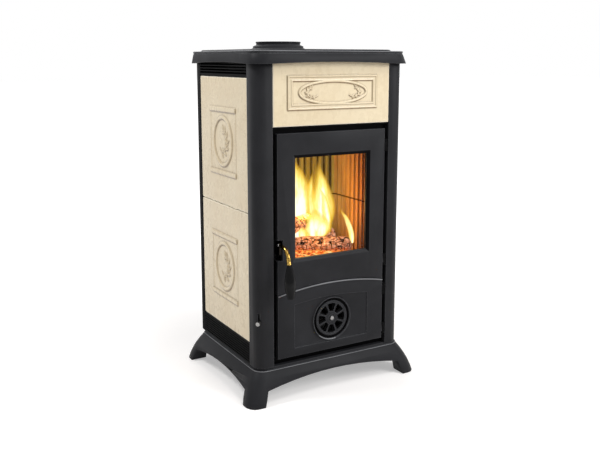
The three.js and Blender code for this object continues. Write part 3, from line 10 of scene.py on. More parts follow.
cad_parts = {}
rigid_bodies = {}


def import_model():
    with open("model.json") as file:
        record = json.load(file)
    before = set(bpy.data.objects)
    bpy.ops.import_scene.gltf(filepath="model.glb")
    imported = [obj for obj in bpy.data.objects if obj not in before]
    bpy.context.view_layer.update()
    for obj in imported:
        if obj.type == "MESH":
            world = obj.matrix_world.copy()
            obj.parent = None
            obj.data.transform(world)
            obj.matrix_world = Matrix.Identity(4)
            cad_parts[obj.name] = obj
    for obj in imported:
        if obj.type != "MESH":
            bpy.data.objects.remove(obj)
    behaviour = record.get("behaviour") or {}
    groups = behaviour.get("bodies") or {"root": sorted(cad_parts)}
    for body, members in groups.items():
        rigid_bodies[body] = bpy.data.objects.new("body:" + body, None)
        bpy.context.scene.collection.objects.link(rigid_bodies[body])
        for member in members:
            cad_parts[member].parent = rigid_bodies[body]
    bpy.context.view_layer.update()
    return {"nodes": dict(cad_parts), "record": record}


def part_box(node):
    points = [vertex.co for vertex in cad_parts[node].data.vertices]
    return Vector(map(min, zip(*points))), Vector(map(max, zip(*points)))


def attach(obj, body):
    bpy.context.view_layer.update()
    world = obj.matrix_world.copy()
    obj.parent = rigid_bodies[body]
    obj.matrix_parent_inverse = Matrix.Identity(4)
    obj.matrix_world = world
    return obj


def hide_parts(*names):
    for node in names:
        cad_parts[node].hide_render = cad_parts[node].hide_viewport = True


for leftover in list(bpy.data.objects):  # the start-up cube, lamp and camera
    bpy.data.objects.remove(leftover)

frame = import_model()

MM = 0.001


# ---------------------------------------------------------------- material helpers

def node(mat, kind, inputs=None, **settings):
    """A shader node of a material or the world; an input is a value, or the socket that feeds it."""
    made = mat.node_tree.nodes.new("ShaderNode" + kind)
    for name, value in settings.items():
        setattr(made, name, value)
    for key, value in (inputs or {}).items():
        if isinstance(value, bpy.types.NodeSocket):
            mat.node_tree.links.new(value, made.inputs[key])
        else:
            made.inputs[key].default_value = value
    return made


def principled(name, **sockets):
    """A new material and its shader, with some sockets set."""
    mat = bpy.data.materials.new(name)
    mat.use_nodes = True
    shader = mat.node_tree.nodes["Principled BSDF"]
    for key, value in sockets.items():
        shader.inputs[key.replace("_", " ")].default_value = value
    return mat, shader


def feed(mat, source, shader, socket):
    mat.node_tree.links.new(source, shader.inputs[socket])


def place_in(mat):
    return node(mat, "TexCoord").outputs["Object"]


def speckle(mat, scale, detail=4.0, rough=0.55, stretch=None):
    """Noise of the given scale per metre."""
    where = place_in(mat)
    if stretch:
        where = node(mat, "Mapping", {"Vector": where, "Scale": stretch}).outputs["Vector"]
    return node(mat, "TexNoise", {"Vector": where, "Scale": scale, "Detail": detail,
                                  "Roughness": rough}).outputs["Fac"]


def spread(mat, value, low, high, out_low=0.0, out_high=1.0):
    """The value, mapped from one range to another and kept inside it."""
    return node(mat, "MapRange", {"Value": value, "From Min": low, "From Max": high,
                                  "To Min": out_low, "To Max": out_high}).outputs["Result"]


def ramp(mat, value, stops):
    """A colour ramp with (place, colour) stops."""
    made = node(mat, "ValToRGB", {"Fac": value})
    points = made.color_ramp.elements
    while len(points) < len(stops):
        points.new(0.5)
    for point, (at, colour) in zip(points, stops):
        point.position = at
        point.color = (*colour, 1)
    return made.outputs["Color"]


def mixed(mat, factor, a, b):
    """A colour between two: each is a colour or a socket."""
    a, b = ((*colour, 1) if isinstance(colour, tuple) else colour for colour in (a, b))
    return node(mat, "Mix", {0: factor, 6: a, 7: b}, data_type="RGBA").outputs[2]


def reckon(mat, operation, a, b=0.0, clamp=False):
    return node(mat, "Math", {0: a, 1: b}, operation=operation, use_clamp=clamp).outputs[0]


def bump(mat, shader, height, distance, strength):
    made = node(mat, "Bump", {"Height": height, "Distance": distance, "Strength": strength})
    feed(mat, made.outputs["Normal"], shader, "Normal")


EDGE_RADIUS, EDGE_TURN = 2.2 * MM, 0.15


def edges_of(mat):
    """About 1 on edges narrower than the radius, 0 on flat ground."""
    rounded = node(mat, "Bevel", {"Radius": EDGE_RADIUS}, samples=4).outputs["Normal"]
    flat = node(mat, "NewGeometry").outputs["Normal"]
    along = node(mat, "VectorMath", {0: rounded, 1: flat}, operation="DOT_PRODUCT").outputs["Value"]
    return spread(mat, along, 1.0, 1.0 - EDGE_TURN)


# ---------------------------------------------------------------- camera, world, floor and lamps

CAMERA_PLACE = (-1.0687, -1.8598, 0.8842)
CAMERA_DOWN, CAMERA_TO_RIGHT = 9.733, 29.873  # degrees below the level and to the right of +Y
CAMERA_LENS, CAMERA_SENSOR, CAMERA_SHIFT = 46.09, 36, -0.055


def make_camera():
    """The photograph's viewpoint."""
    data = bpy.data.cameras.new("camera")
    data.lens, data.sensor_width, data.shift_y = CAMERA_LENS, CAMERA_SENSOR, CAMERA_SHIFT
    camera = bpy.data.objects.new("camera", data)
    camera.location = CAMERA_PLACE
    camera.rotation_euler = (math.radians(90 - CAMERA_DOWN), 0, math.radians(-CAMERA_TO_RIGHT))
    bpy.context.scene.collection.objects.link(camera)
    bpy.context.scene.camera = camera


def seen_directly(mat):
    """1 for camera, glossy and transmission rays, and 0 for the rays that light the object."""
    rays = node(mat, "LightPath").outputs
    seen = reckon(mat, "MAXIMUM", rays["Is Camera Ray"], rays["Is Glossy Ray"])
    return reckon(mat, "MAXIMUM", seen, rays["Is Transmission Ray"])


WORLD_LIGHT = 0.30
FLOOR_COLOUR = (0.80, 0.775, 0.76, 1)
FLOOR_GLOW_NEAR, FLOOR_GLOW_FAR = 0.38, 1.0
FLOOR_NEAR, FLOOR_FAR = 0.45, 1.9  # metres from the object's middle
FLOOR_HALF = 30.0


def make_world():
    """Soft white light from all round, and a white background."""
    world = bpy.data.worlds.new("studio")
    world.use_nodes = True
    background = world.node_tree.nodes["Background"]
    background.inputs["Color"].default_value = (1, 1, 1, 1)
    feed(world, spread(world, seen_directly(world), 0.0, 1.0, WORLD_LIGHT, 1.0), background, "Strength")
    bpy.context.scene.world = world


def make_floor():
    """A pale floor that glows more with distance, so that only the object's shadow shows."""
    mesh = bpy.data.meshes.new("floor")
    h = FLOOR_HALF
    mesh.from_pydata([(-h, -h, 0), (h, -h, 0), (h, h, 0), (-h, h, 0)], [], [(0, 1, 2, 3)])
    floor = bpy.data.objects.new("floor", mesh)
    bpy.context.scene.collection.objects.link(floor)
    mat, shader = principled("floor", Base_Color=FLOOR_COLOUR, Roughness=0.9, Specular_IOR_Level=0.0,
                             Emission_Color=(1, 1, 1, 1))
    away = node(mat, "VectorMath", {0: place_in(mat)}, operation="LENGTH").outputs["Value"]
    level = spread(mat, away, FLOOR_NEAR, FLOOR_FAR, FLOOR_GLOW_NEAR, FLOOR_GLOW_FAR)
    feed(mat, reckon(mat, "MULTIPLY", level, seen_directly(mat)), shader, "Emission Strength")
    mesh.materials.append(mat)


def put_lamp(name, data, place, aim=None):
    """A lamp that lights without being seen."""
    light = bpy.data.objects.new(name, data)
    light.location = place
    if aim:
        light.rotation_euler = (Vector(aim) - Vector(place)).to_track_quat("-Z", "Y").to_euler()
    light.visible_camera = False
    light.visible_transmission = False
    bpy.context.scene.collection.objects.link(light)
    return light


LAMP_AIM = (0, 0, 0.5)
# name, place and size in metres, power in watts
SOFT_BOXES = (
    ("front_right", (1.5, -2.4, 1.9), 1.4, 52),
    ("above_front", (0.2, -1.3, 2.9), 1.2, 25),
    ("above_left", (-1.30, 0.35, 2.10), 0.6, 20),
    ("above_behind", (0.4, 1.8, 2.4), 1.6, 14),
)


def make_lamps():
    """The studio's round soft boxes."""
    for name, place, size, power in SOFT_BOXES:
        data = bpy.data.lights.new(name, "AREA")
        data.shape, data.size, data.energy = "DISK", size, power
        put_lamp(name, data, place, LAMP_AIM)


# ---------------------------------------------------------------- materials

def iron_paint(low=(0.0165, 0.0168, 0.0188), high=(0.0215, 0.0219, 0.0245), polish_and_highlight=(0.15, 0.155, 0.165),
               specular=0.09):
    """Matt anthracite stove paint on cast iron; its edges are lighter, partly polish and partly a painted
    highlight.
    """
    mat, shader = principled("iron_paint", Specular_IOR_Level=specular)
    cloud = speckle(mat, 14, 3)
    grain = speckle(mat, 900, 2, 0.6)
    body = mixed(mat, spread(mat, cloud, 0.3, 0.7), low, high)
    patchy = spread(mat, speckle(mat, 160, 4), 0.25, 0.75, 0.25, 0.8)
    edge = reckon(mat, "MULTIPLY", edges_of(mat), patchy)
    # lighter edges: partly polish, partly a painted highlight
    feed(mat, mixed(mat, edge, body, polish_and_highlight), shader, "Base Color")
    feed(mat, spread(mat, grain, 0.25, 0.75, 0.40, 0.54), shader, "Roughness")
    height = reckon(mat, "ADD", reckon(mat, "MULTIPLY", grain, 0.35), speckle(mat, 240, 3))
    bump(mat, shader, height, 0.00018, 0.5)
    return mat


def painted_shade():
    """The same paint made nearly black: painted shade for parts in recesses and out of the light."""
    return iron_paint((0.0018, 0.0018, 0.0020), (0.0038, 0.0038, 0.0042), (0.010, 0.010, 0.011), 0.03)


def painted_highlight():
    """Light grey stove paint: a painted highlight along the beads."""
    return iron_paint((0.10, 0.102, 0.108), (0.19, 0.194, 0.205), (0.24, 0.245, 0.26), 0.3)


def sheet_steel():
    """Black painted sheet, smoother than the castings."""
    mat, shader = principled("sheet_steel", Specular_IOR_Level=0.35)
    cloud = speckle(mat, 9, 3)
    feed(mat, mixed(mat, cloud, (0.0120, 0.0122, 0.0132), (0.0190, 0.0193, 0.0205)), shader, "Base Color")
    feed(mat, spread(mat, speckle(mat, 60, 4), 0.2, 0.8, 0.38, 0.52), shader, "Roughness")
    bump(mat, shader, speckle(mat, 700, 2), 0.0001, 0.35)
    return mat


def raw_iron():
    """Bare iron that has been through many fires: scale, soot and a little rust."""
    mat, shader = principled("raw_iron", Metallic=0.55)
    cloud = speckle(mat, 30, 5)
    rust = spread(mat, speckle(mat, 75, 6, 0.65), 0.52, 0.72)
    body = mixed(mat, cloud, (0.030, 0.028, 0.027), (0.085, 0.080, 0.076))
    feed(mat, mixed(mat, rust, body, (0.115, 0.052, 0.028)), shader, "Base Color")
    feed(mat, spread(mat, cloud, 0.2, 0.8, 0.5, 0.8), shader, "Roughness")
    bump(mat, shader, speckle(mat, 420, 4), 0.0004, 0.5)
    return mat


FLUTE_PITCH = 22 * MM
LINING_JOINT = 489 * MM  # where the upper linings stand on the lower ones
SIDE_FLUTES_FROM, BACK_FLUTES_FROM = -134.4 * MM, -169.5 * MM


def refractory(axis="Y", start=SIDE_FLUTES_FROM, low=(0.50, 0.27, 0.075), high=(0.74, 0.46, 0.14)):
    """Fired lining clay: amber, partly as painted firelight, with painted shade turning it dull red towards
    the front, and dark along lines a flute's pitch apart and along the joint.
    """
    mat, shader = principled("refractory", Roughness=0.85, Specular_IOR_Level=0.1)
    place = node(mat, "SeparateXYZ", {"Vector": place_in(mat)})
    cloud = speckle(mat, 18, 5)
    wear = speckle(mat, 26, 4, stretch=(1, 1, 0.25))
    body = mixed(mat, cloud, low, high)
    # painted shade: the lining turns dull red towards the front, away from the fire
    body = mixed(mat, spread(mat, place.outputs["Y"], 0.03, -0.12), body, (0.33, 0.075, 0.022))
    across = reckon(mat, "DIVIDE", reckon(mat, "SUBTRACT", place.outputs[axis], start), FLUTE_PITCH)
    to_arris = reckon(mat, "PINGPONG", across, 0.5)
    line = spread(mat, to_arris, 0.04, 0.30, 1.0, 0.0)
    from_joint = reckon(mat, "ABSOLUTE", reckon(mat, "SUBTRACT", place.outputs["Z"], LINING_JOINT))
    line = reckon(mat, "MAXIMUM", line, spread(mat, from_joint, 1.3 * MM, 2.6 * MM, 1.0, 0.0))
    # dark lines a flute's pitch apart and along the joint between the linings
    blackening = reckon(mat, "MULTIPLY", line, spread(mat, wear, 0.2, 0.7, 0.80, 1.05), clamp=True)
    feed(mat, mixed(mat, blackening, body, (0.020, 0.006, 0.003)), shader, "Base Color")
    bump(mat, shader, speckle(mat, 380, 5, 0.65), 0.0006, 0.6)
    return mat


def back_lining():
    """The linings behind the fire, whose flutes stand side by side along X."""
    return refractory("X", BACK_FLUTES_FROM, (0.44, 0.34, 0.07), (0.66, 0.52, 0.13))


def tile_glaze():
    """Cream glaze: faintly mottled, thin along the rim, and brown beside the relief, partly where glaze pools
    and partly painted shade on slopes facing down and sideways.
    """
    mat, shader = principled("tile_glaze", Specular_IOR_Level=0.40, Coat_Weight=0.15, Coat_Roughness=0.18)
    relief = node(mat, "Attribute", attribute_name="pooled_and_shaded").outputs["Fac"]
    rim = node(mat, "Attribute", attribute_name="rim").outputs["Fac"]
    cloud = spread(mat, speckle(mat, 9, 4, 0.55), 0.3, 0.7)
    flow = spread(mat, speckle(mat, 60, 5, 0.62, stretch=(1, 1, 0.7)), 0.35, 0.70)
    body = mixed(mat, cloud, (0.730, 0.600, 0.395), (0.790, 0.675, 0.470))
    body = mixed(mat, reckon(mat, "MULTIPLY", flow, 0.09), body, (0.900, 0.810, 0.630))
    specks = spread(mat, speckle(mat, 210, 3, 0.5), 0.58, 0.80, 0.0, 0.07)
    body = mixed(mat, specks, body, (0.420, 0.290, 0.140))
    body = mixed(mat, reckon(mat, "MULTIPLY", rim, 0.7), body, (0.960, 0.900, 0.760))
    # brown where glaze pools in the relief's hollows, and painted shade on its slopes that face down and
    # sideways
    feed(mat, mixed(mat, relief, body, (0.215, 0.130, 0.055)), shader, "Base Color")
    feed(mat, spread(mat, flow, 0.0, 1.0, 0.24, 0.34), shader, "Roughness")
    bump(mat, shader, speckle(mat, 90, 4), 0.0005, 0.3)
    return mat


# painted shade: the brass is painted black where the neck enters the door
BRASS_SHADE_FROM, BRASS_SHADE_TO = -181 * MM, -171 * MM  # the neck blackens where it enters the door


def brass():
    """Rubbed brass, browned in its hollows, with painted shade turning it black inside the door."""
    mat, shader = principled("brass", Metallic=1.0)
    place = node(mat, "SeparateXYZ", {"Vector": place_in(mat)})
    cloud = spread(mat, speckle(mat, 150, 4), 0.3, 0.7)
    body = mixed(mat, cloud, (0.17, 0.095, 0.016), (0.50, 0.33, 0.085))
    blackening = spread(mat, place.outputs["Y"], BRASS_SHADE_FROM, BRASS_SHADE_TO)
    feed(mat, mixed(mat, blackening, body, (0.012, 0.010, 0.008)), shader, "Base Color")
    feed(mat, spread(mat, speckle(mat, 500, 3), 0.2, 0.8, 0.10, 0.24), shader, "Roughness")
    bump(mat, shader, speckle(mat, 700, 2), 0.00008, 0.3)
    return mat


def bright_steel():
    """Dulled bare steel of screws and knobs."""
    mat, shader = principled("bright_steel", Metallic=1.0)
    cloud = speckle(mat, 160, 4)
    feed(mat, mixed(mat, cloud, (0.20, 0.195, 0.19), (0.34, 0.335, 0.33)), shader, "Base Color")
    feed(mat, spread(mat, speckle(mat, 700, 3), 0.2, 0.8, 0.22, 0.38), shader, "Roughness")
    bump(mat, shader, speckle(mat, 900, 2), 0.00008, 0.3)
    return mat


def black_grip():
    """Glossy black moulding, faintly scuffed."""
    mat, shader = principled("black_grip", IOR=1.22)
    body = mixed(mat, speckle(mat, 40, 4), (0.0010, 0.0010, 0.0012), (0.0022, 0.0023, 0.0027))
    feed(mat, body, shader, "Base Color")
    feed(mat, spread(mat, speckle(mat, 300, 4), 0.2, 0.8, 0.10, 0.17), shader, "Roughness")
    bump(mat, shader, speckle(mat, 500, 2), 0.00006, 0.25)
    return mat


def rope():
    """Glass-fibre seal rope, braided, greyed by heat."""
    mat, shader = principled("rope", Roughness=0.9, Specular_IOR_Level=0.15)
    weave = {"Vector": place_in(mat), "Scale": 90.0, "Distortion": 3.0, "Detail": 2.0}
    strands = node(mat, "TexWave", weave, bands_direction="DIAGONAL").outputs["Fac"]
    dirt = speckle(mat, 35, 4)
    body = mixed(mat, dirt, (0.19, 0.185, 0.175), (0.36, 0.35, 0.33))
    gaps = spread(mat, strands, 0.0, 0.5, 0.7, 0.0)
    feed(mat, mixed(mat, gaps, body, (0.07, 0.068, 0.064)), shader, "Base Color")
    bump(mat, shader, strands, 0.0012, 0.8)
    return mat


def glass():
    """Clear stove ceramic with a breath of soot here and there."""
    mat, shader = principled("glass", Transmission_Weight=1.0, IOR=1.12, Roughness=0.0)
    haze = spread(mat, speckle(mat, 22, 4), 0.55, 0.8, 0.0, 0.08)
    feed(mat, mixed(mat, haze, (0.97, 0.955, 0.93), (0.80, 0.76, 0.70)), shader, "Base Color")
    return mat


def embers():
    """Glowing coals: white-yellow where hottest, red in the gaps, with grey ash on top."""
    mat, shader = principled("embers", Roughness=0.9, Specular_IOR_Level=0.1)
    heat = speckle(mat, 60, 5, 0.66)
    crack = node(mat, "Attribute", attribute_name="crack").outputs["Fac"]
    hot = reckon(mat, "ADD", heat, reckon(mat, "MULTIPLY", crack, 0.20))
    ash = mixed(mat, spread(mat, heat, 0.3, 0.7), (0.03, 0.022, 0.02), (0.16, 0.13, 0.12))
    feed(mat, ash, shader, "Base Color")
    glow = ramp(mat, hot, ((0.40, (0.05, 0.002, 0.0)), (0.50, (0.55, 0.035, 0.004)),
                           (0.60, (1.0, 0.16, 0.012)), (0.72, (1.0, 0.55, 0.10)), (0.82, (1.0, 0.93, 0.55))))
    feed(mat, glow, shader, "Emission Color")
    shader.inputs["Emission Strength"].default_value = 1.0
    bump(mat, shader, speckle(mat, 300, 4), 0.001, 0.5)
    return mat


def charred_wood():
    """Burning logs: ash-pink bark plates whose pale glow is partly heat and partly painted firelight, black
    cracks, red heat from below and a dark red cut end.
    """
    mat, shader = principled("charred_wood", Roughness=0.9, Specular_IOR_Level=0.1)
    crack = node(mat, "Attribute", attribute_name="crack").outputs["Fac"]
    under = node(mat, "Attribute", attribute_name="under").outputs["Fac"]
    end = node(mat, "Attribute", attribute_name="cut_end").outputs["Fac"]
    patch = speckle(mat, 150, 5, 0.66)
    plate = mixed(mat, spread(mat, patch, 0.35, 0.65), (0.16, 0.045, 0.022), (0.55, 0.32, 0.22))
    dark = reckon(mat, "MAXIMUM", spread(mat, crack, 0.30, 0.70), end)
    feed(mat, mixed(mat, dark, plate, (0.006, 0.002, 0.002)), shader, "Base Color")
    # the bark plates' pale pink glow: partly heat, partly painted firelight
    plates_firelight = ramp(mat, patch, ((0.36, (0.16, 0.018, 0.006)), (0.50, (0.42, 0.12, 0.055)),
                                    (0.66, (0.90, 0.58, 0.42))))
    heat = reckon(mat, "ADD", under, spread(mat, speckle(mat, 70, 5), 0.3, 0.7, -0.45, 0.40))
    heat_glow = ramp(mat, heat, ((0.25, (0.25, 0.010, 0.002)), (0.55, (0.95, 0.07, 0.008)),
                                 (0.85, (1.0, 0.34, 0.04))))
    glow = mixed(mat, spread(mat, heat, 0.30, 0.70), plates_firelight, heat_glow)
    char = mixed(mat, end, (0.012, 0.002, 0.001), (0.060, 0.004, 0.004))
    glow = mixed(mat, dark, glow, char)
    feed(mat, glow, shader, "Emission Color")
    shader.inputs["Emission Strength"].default_value = 0.62
    bump(mat, shader, speckle(mat, 420, 4), 0.0008, 0.6)
    return mat


def flame():
    """Fire: nearly white at its root, yellow above, thin and amber towards its tip and edges."""
    mat, shader = principled("flame", Base_Color=(0, 0, 0, 1), Roughness=1.0, Specular_IOR_Level=0.0)
    across = node(mat, "Attribute", attribute_name="across").outputs["Fac"]
    along = node(mat, "Attribute", attribute_name="along").outputs["Fac"]
    wisps = speckle(mat, 34, 4, 0.6, stretch=(1, 1, 0.22))
    core = reckon(mat, "SUBTRACT", 1.0, reckon(mat, "POWER", across, 1.6))
    fade = reckon(mat, "SUBTRACT", 1.0, reckon(mat, "POWER", along, 2.2))
    body = reckon(mat, "MULTIPLY", core, fade)
    shaped = reckon(mat, "MULTIPLY", body, spread(mat, wisps, 0.30, 0.62, 0.35, 1.35))
    glow = ramp(mat, shaped, ((0.0, (0.62, 0.24, 0.01)), (0.30, (0.78, 0.50, 0.05)),
                              (0.60, (0.90, 0.74, 0.22)), (0.90, (1.0, 0.97, 0.72))))
    feed(mat, glow, shader, "Emission Color")
    shader.inputs["Emission Strength"].default_value = 1.5
    feed(mat, spread(mat, shaped, 0.03, 0.60, 0.0, 0.86), shader, "Alpha")
    return mat


MATERIALS = {make.__name__: make() for make in (
    iron_paint, painted_shade, painted_highlight, sheet_steel, raw_iron, refractory, back_lining, tile_glaze, brass,
    bright_steel, black_grip, rope, glass, embers, charred_wood, flame)}


# ---------------------------------------------------------------- mesh helpers

def shade_by_angle(mesh, degrees):
    """Smooth shading that stays sharp at creases steeper than the angle."""
    mesh.polygons.foreach_set("use_smooth", [True] * len(mesh.polygons))
    mesh.set_sharp_from_angle(angle=math.radians(degrees))


def soften(obj, width, angle=32, clamp=False):
    """Rounds an object's edges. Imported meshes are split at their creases, so they are welded first."""
    weld = obj.modifiers.new("weld", "WELD")
    weld.merge_threshold = 0.01 * MM
    bevel = obj.modifiers.new("bevel", "BEVEL")
    bevel.width, bevel.segments = width, 2
    bevel.limit_method, bevel.angle_limit = "ANGLE", math.radians(angle)
    bevel.harden_normals = True
    bevel.use_clamp_overlap = clamp


def outward(obj):
    """Turns a closed piece's faces outward."""
    bm = bmesh.new()
    bm.from_mesh(obj.data)
    bmesh.ops.recalc_face_normals(bm, faces=bm.faces)
    bm.to_mesh(obj.data)
    bm.free()


def piece(name, verts, faces, material, body, *, smooth, slot=None, replaces=None, attributes=None):
    """A new closed piece made of points and faces, riding on a body."""
    mesh = bpy.data.meshes.new(name)
    mesh.from_pydata([tuple(v) for v in verts], [], faces)
    mesh.validate()
    mesh.update()
    for key, values in (attributes or {}).items():
        layer = mesh.attributes.new(key, "FLOAT", "POINT")
        layer.data.foreach_set("value", np.asarray(values, dtype=np.float32))
    mesh.materials.append(MATERIALS[material])
    obj = bpy.data.objects.new(name, mesh)
    bpy.context.scene.collection.objects.link(obj)
    shade_by_angle(mesh, smooth)
    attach(obj, body)
    if replaces:
        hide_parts(replaces)
    outward(obj)
    return obj


def tube_walls(rings, around, closed=False):
    """The walls of a tube of rings of points. A closed tube's last ring joins its first."""
    faces = []
    for r in range(rings if closed else rings - 1):
        low, high = r * around, (r + 1) % rings * around
        for k in range(around):
            nxt = (k + 1) % around
            faces.append((low + k, low + nxt, high + nxt, high + k))
    return faces


def loft(name, sections, material, body, closed=False, **options):
    """A tube through rings of equally many points, capped at both ends or closed on itself."""
    count, around = len(sections), len(sections[0])
    faces = tube_walls(count, around, closed)
    if not closed:
        faces += [tuple(reversed(range(around))), tuple(range((count - 1) * around, count * around))]
    return piece(name, [point for ring in sections for point in ring], faces, material, body, **options)


def ring_round(centre, across, deep, half_across, half_deep, count=40):
    """Points of an oval round a centre, in the plane of two directions."""
    turns = [2 * math.pi * k / count for k in range(count)]
    return [centre + across * math.cos(t) * half_across + deep * math.sin(t) * half_deep for t in turns]


def skirted_grid(rows, cols):
    """Faces of a grid of points with a skirt down to a flat back, and the border that the back repeats."""
    faces = []
    for r in range(rows - 1):
        base = r * cols
        faces += [(base + c, base + c + 1, base + c + 1 + cols, base + c + cols) for c in range(cols - 1)]
    last_row = (rows - 1) * cols
    border = list(range(cols)) + [r * cols + cols - 1 for r in range(1, rows)]
    border += [last_row + c for c in range(cols - 2, -1, -1)] + [r * cols for r in range(rows - 2, 0, -1)]
    back, count = rows * cols, len(border)
    for k in range(count):
        nxt = (k + 1) % count
        faces.append((border[nxt], border[k], back + k, back + nxt))
    faces.append(tuple(reversed(range(back, back + count))))
    return faces, border


# ---------------------------------------------------------------- tiles, in millimetres

RELIEF_HEIGHT, SPRIG_HEIGHT, EDGE_ROUND = 3.2, 2.6, 3.2
RIM_FROM, RIM_TO = 1.0, 3.5  # the glaze is thin along the rim
SIDE_GRID, FRONT_GRID = 1.6, 1.1
SIDE_FRAME, SIDE_OVAL, SIDE_SPRIG = (83, 92.5), (57, 64), (49, 56)  # half sizes
SIDE_BAR, SIDE_LINE, SIDE_RING = 7.5, 3.5, 6.5  # half widths
FRONT_FRAME, FRONT_OVAL, FRONT_SPRIG = (137, 44), (101.5, 28.5), (34, 24)  # half sizes
FRONT_SPRIG_AT, FRONT_RING = 62, 4.2


def smooth_step(x, low, high):
    t = np.clip((x - low) / (high - low), 0, 1)
    return t * t * (3 - 2 * t)


def bar_profile(distance, half_width, flat):
    """A rounded bar of height 1, level over its flat share; distance is measured from its middle line."""
    return 1 - smooth_step(np.abs(distance), half_width * flat, half_width)


def rectangle_distance(u, v, half_u, half_v):
    """Signed distance from the outline of an upright rectangle, negative inside."""
    du, dv = np.abs(u) - half_u, np.abs(v) - half_v
    outside = np.hypot(np.maximum(du, 0), np.maximum(dv, 0))
    return outside + np.minimum(np.maximum(du, dv), 0)


def oval_distance(u, v, half_u, half_v):
    """About the signed distance from an oval's outline."""
    k = np.hypot(u / half_u, v / half_v)
    slope = np.hypot(u / half_u ** 2, v / half_v ** 2) / np.maximum(k, 1e-6)
    return (k - 1) / np.maximum(slope, 1e-6)


def leaf(u, v, at, turn, length, width):
    """One leaf of a sprig: a pointed oval with a midrib groove."""
    c, s = math.cos(turn), math.sin(turn)
    along = (u - at[0]) * c + (v - at[1]) * s
    side = -(u - at[0]) * s + (v - at[1]) * c
    t = np.clip(along / length, 0, 1)
    half = np.maximum(width / 2 * np.sin(np.pi * t ** 0.8), 1e-3)
    inside = (along > 0) & (along < length)
    dome = np.where(inside, np.clip(1 - (side / half) ** 2, 0, 1) ** 0.6, 0)
    rib = np.exp(-(side / (width * 0.07)) ** 2) * inside
    return SPRIG_HEIGHT * dome * (1 - 0.45 * rib)


def berry(u, v, at, radius):
    away = np.hypot(u - at[0], v - at[1]) / radius
    return SPRIG_HEIGHT * np.sqrt(np.clip(1 - away ** 2, 0, 1))


def stem(u, v, points, width, height):
    """A rounded stem along straight runs between points."""
    best = np.full_like(u, 1e9)
    for (ax, ay), (bx, by) in zip(points, points[1:]):
        dx, dy = bx - ax, by - ay
        t = np.clip(((u - ax) * dx + (v - ay) * dy) / (dx * dx + dy * dy), 0, 1)
        best = np.minimum(best, np.hypot(u - ax - t * dx, v - ay - t * dy))
    return height * np.sqrt(np.clip(1 - (best / width) ** 2, 0, 1))


def arc_points(half_u, half_v, start, end, count=14):
    """Points on an oval arc round the middle, its angles in degrees."""
    turns = [math.radians(start + (end - start) * k / (count - 1)) for k in range(count)]
    return [(half_u * math.cos(a), half_v * math.sin(a)) for a in turns]


def olive_sprig(u, v, half_u, half_v):
    """A plain olive sprig that follows the oval: paired leaves on a curved stem and three berries."""
    line = arc_points(half_u * 0.52, half_v * 0.52, -140, 70)
    height = stem(u, v, line, 1.5, SPRIG_HEIGHT * 0.8)
    size = min(half_u, half_v)
    for k in range(2, len(line) - 1, 2):
        (ax, ay), (bx, by) = line[k - 1], line[k + 1]
        heading = math.atan2(by - ay, bx - ax)
        for side in (1, -1):
            put = leaf(u, v, line[k], heading + side * 0.75, size * 0.40, size * 0.15)
            height = np.maximum(height, put)
    end_leaf = leaf(u, v, line[-1], math.atan2(0.9, -0.6), size * 0.42, size * 0.16)
    height = np.maximum(height, end_leaf)
    for k, side in ((4, 1), (8, -1), (10, 1)):
        at = (line[k][0] * (1 - 0.24 * side), line[k][1] * (1 - 0.24 * side))
        height = np.maximum(height, berry(u, v, at, size * 0.055))
    return height


def side_relief(u, v):
    """A side tile's relief: top and bottom bars, faint side lines, an oval and a sprig."""
    half_u, half_v = SIDE_FRAME
    bar_ends = 1 - smooth_step(np.abs(u), half_u - 1.5, half_u)
    bars = bar_profile(np.abs(v) - (half_v - SIDE_BAR), SIDE_BAR, 0.62) * bar_ends
    lines = 0.30 * bar_profile(rectangle_distance(u, v, *SIDE_FRAME) + SIDE_LINE, SIDE_LINE, 0.4)
    ring = bar_profile(oval_distance(u, v, *SIDE_OVAL), SIDE_RING, 0.45)
    relief = RELIEF_HEIGHT * np.maximum.reduce([bars, lines, ring])
    return np.maximum(relief, olive_sprig(u, v, *SIDE_SPRIG))


def front_relief(u, v):
    """The front tile's relief: a stepped frame, an oval and two sprigs."""
    edge = rectangle_distance(u, v, *FRONT_FRAME)
    step = 1 - smooth_step(edge, -1.2, 0.2)
    inner = smooth_step(edge, -16.5, -15.0)
    bead_line = 0.40 * bar_profile(edge + 3.2, 3.0, 0.4)
    lip = 0.35 * bar_profile(edge + 13.2, 2.4, 0.4) * inner
    ring = bar_profile(oval_distance(u, v, *FRONT_OVAL), FRONT_RING, 0.45)
    relief = RELIEF_HEIGHT * np.maximum(step * inner * 0.62 + bead_line + lip, ring)
    for across in (u - FRONT_SPRIG_AT, -u - FRONT_SPRIG_AT):
        relief = np.maximum(relief, olive_sprig(across, v, *FRONT_SPRIG))
    return relief


def tile_knots(size, spacing):
    """Places across a tile: even ones between its rounded edges, and three on each edge."""
    half, count = size / 2, int(round(size / spacing)) + 1
    bend = EDGE_ROUND * np.sin(np.radians([30, 60, 90]))
    inner = np.linspace(-half + EDGE_ROUND, half - EDGE_ROUND, count - 6)
    return np.concatenate([-half + EDGE_ROUND - bend[::-1], inner, half - EDGE_ROUND + bend])


def blurred(height):
    """The relief, smeared a little as glaze would level it."""
    for _ in range(4):
        padded = np.pad(height, 1, mode="edge")
        height = (padded[:-2, 1:-1] + padded[2:, 1:-1] + padded[1:-1, :-2] + padded[1:-1, 2:]
                  + padded[1:-1, 1:-1]) / 5
    return height


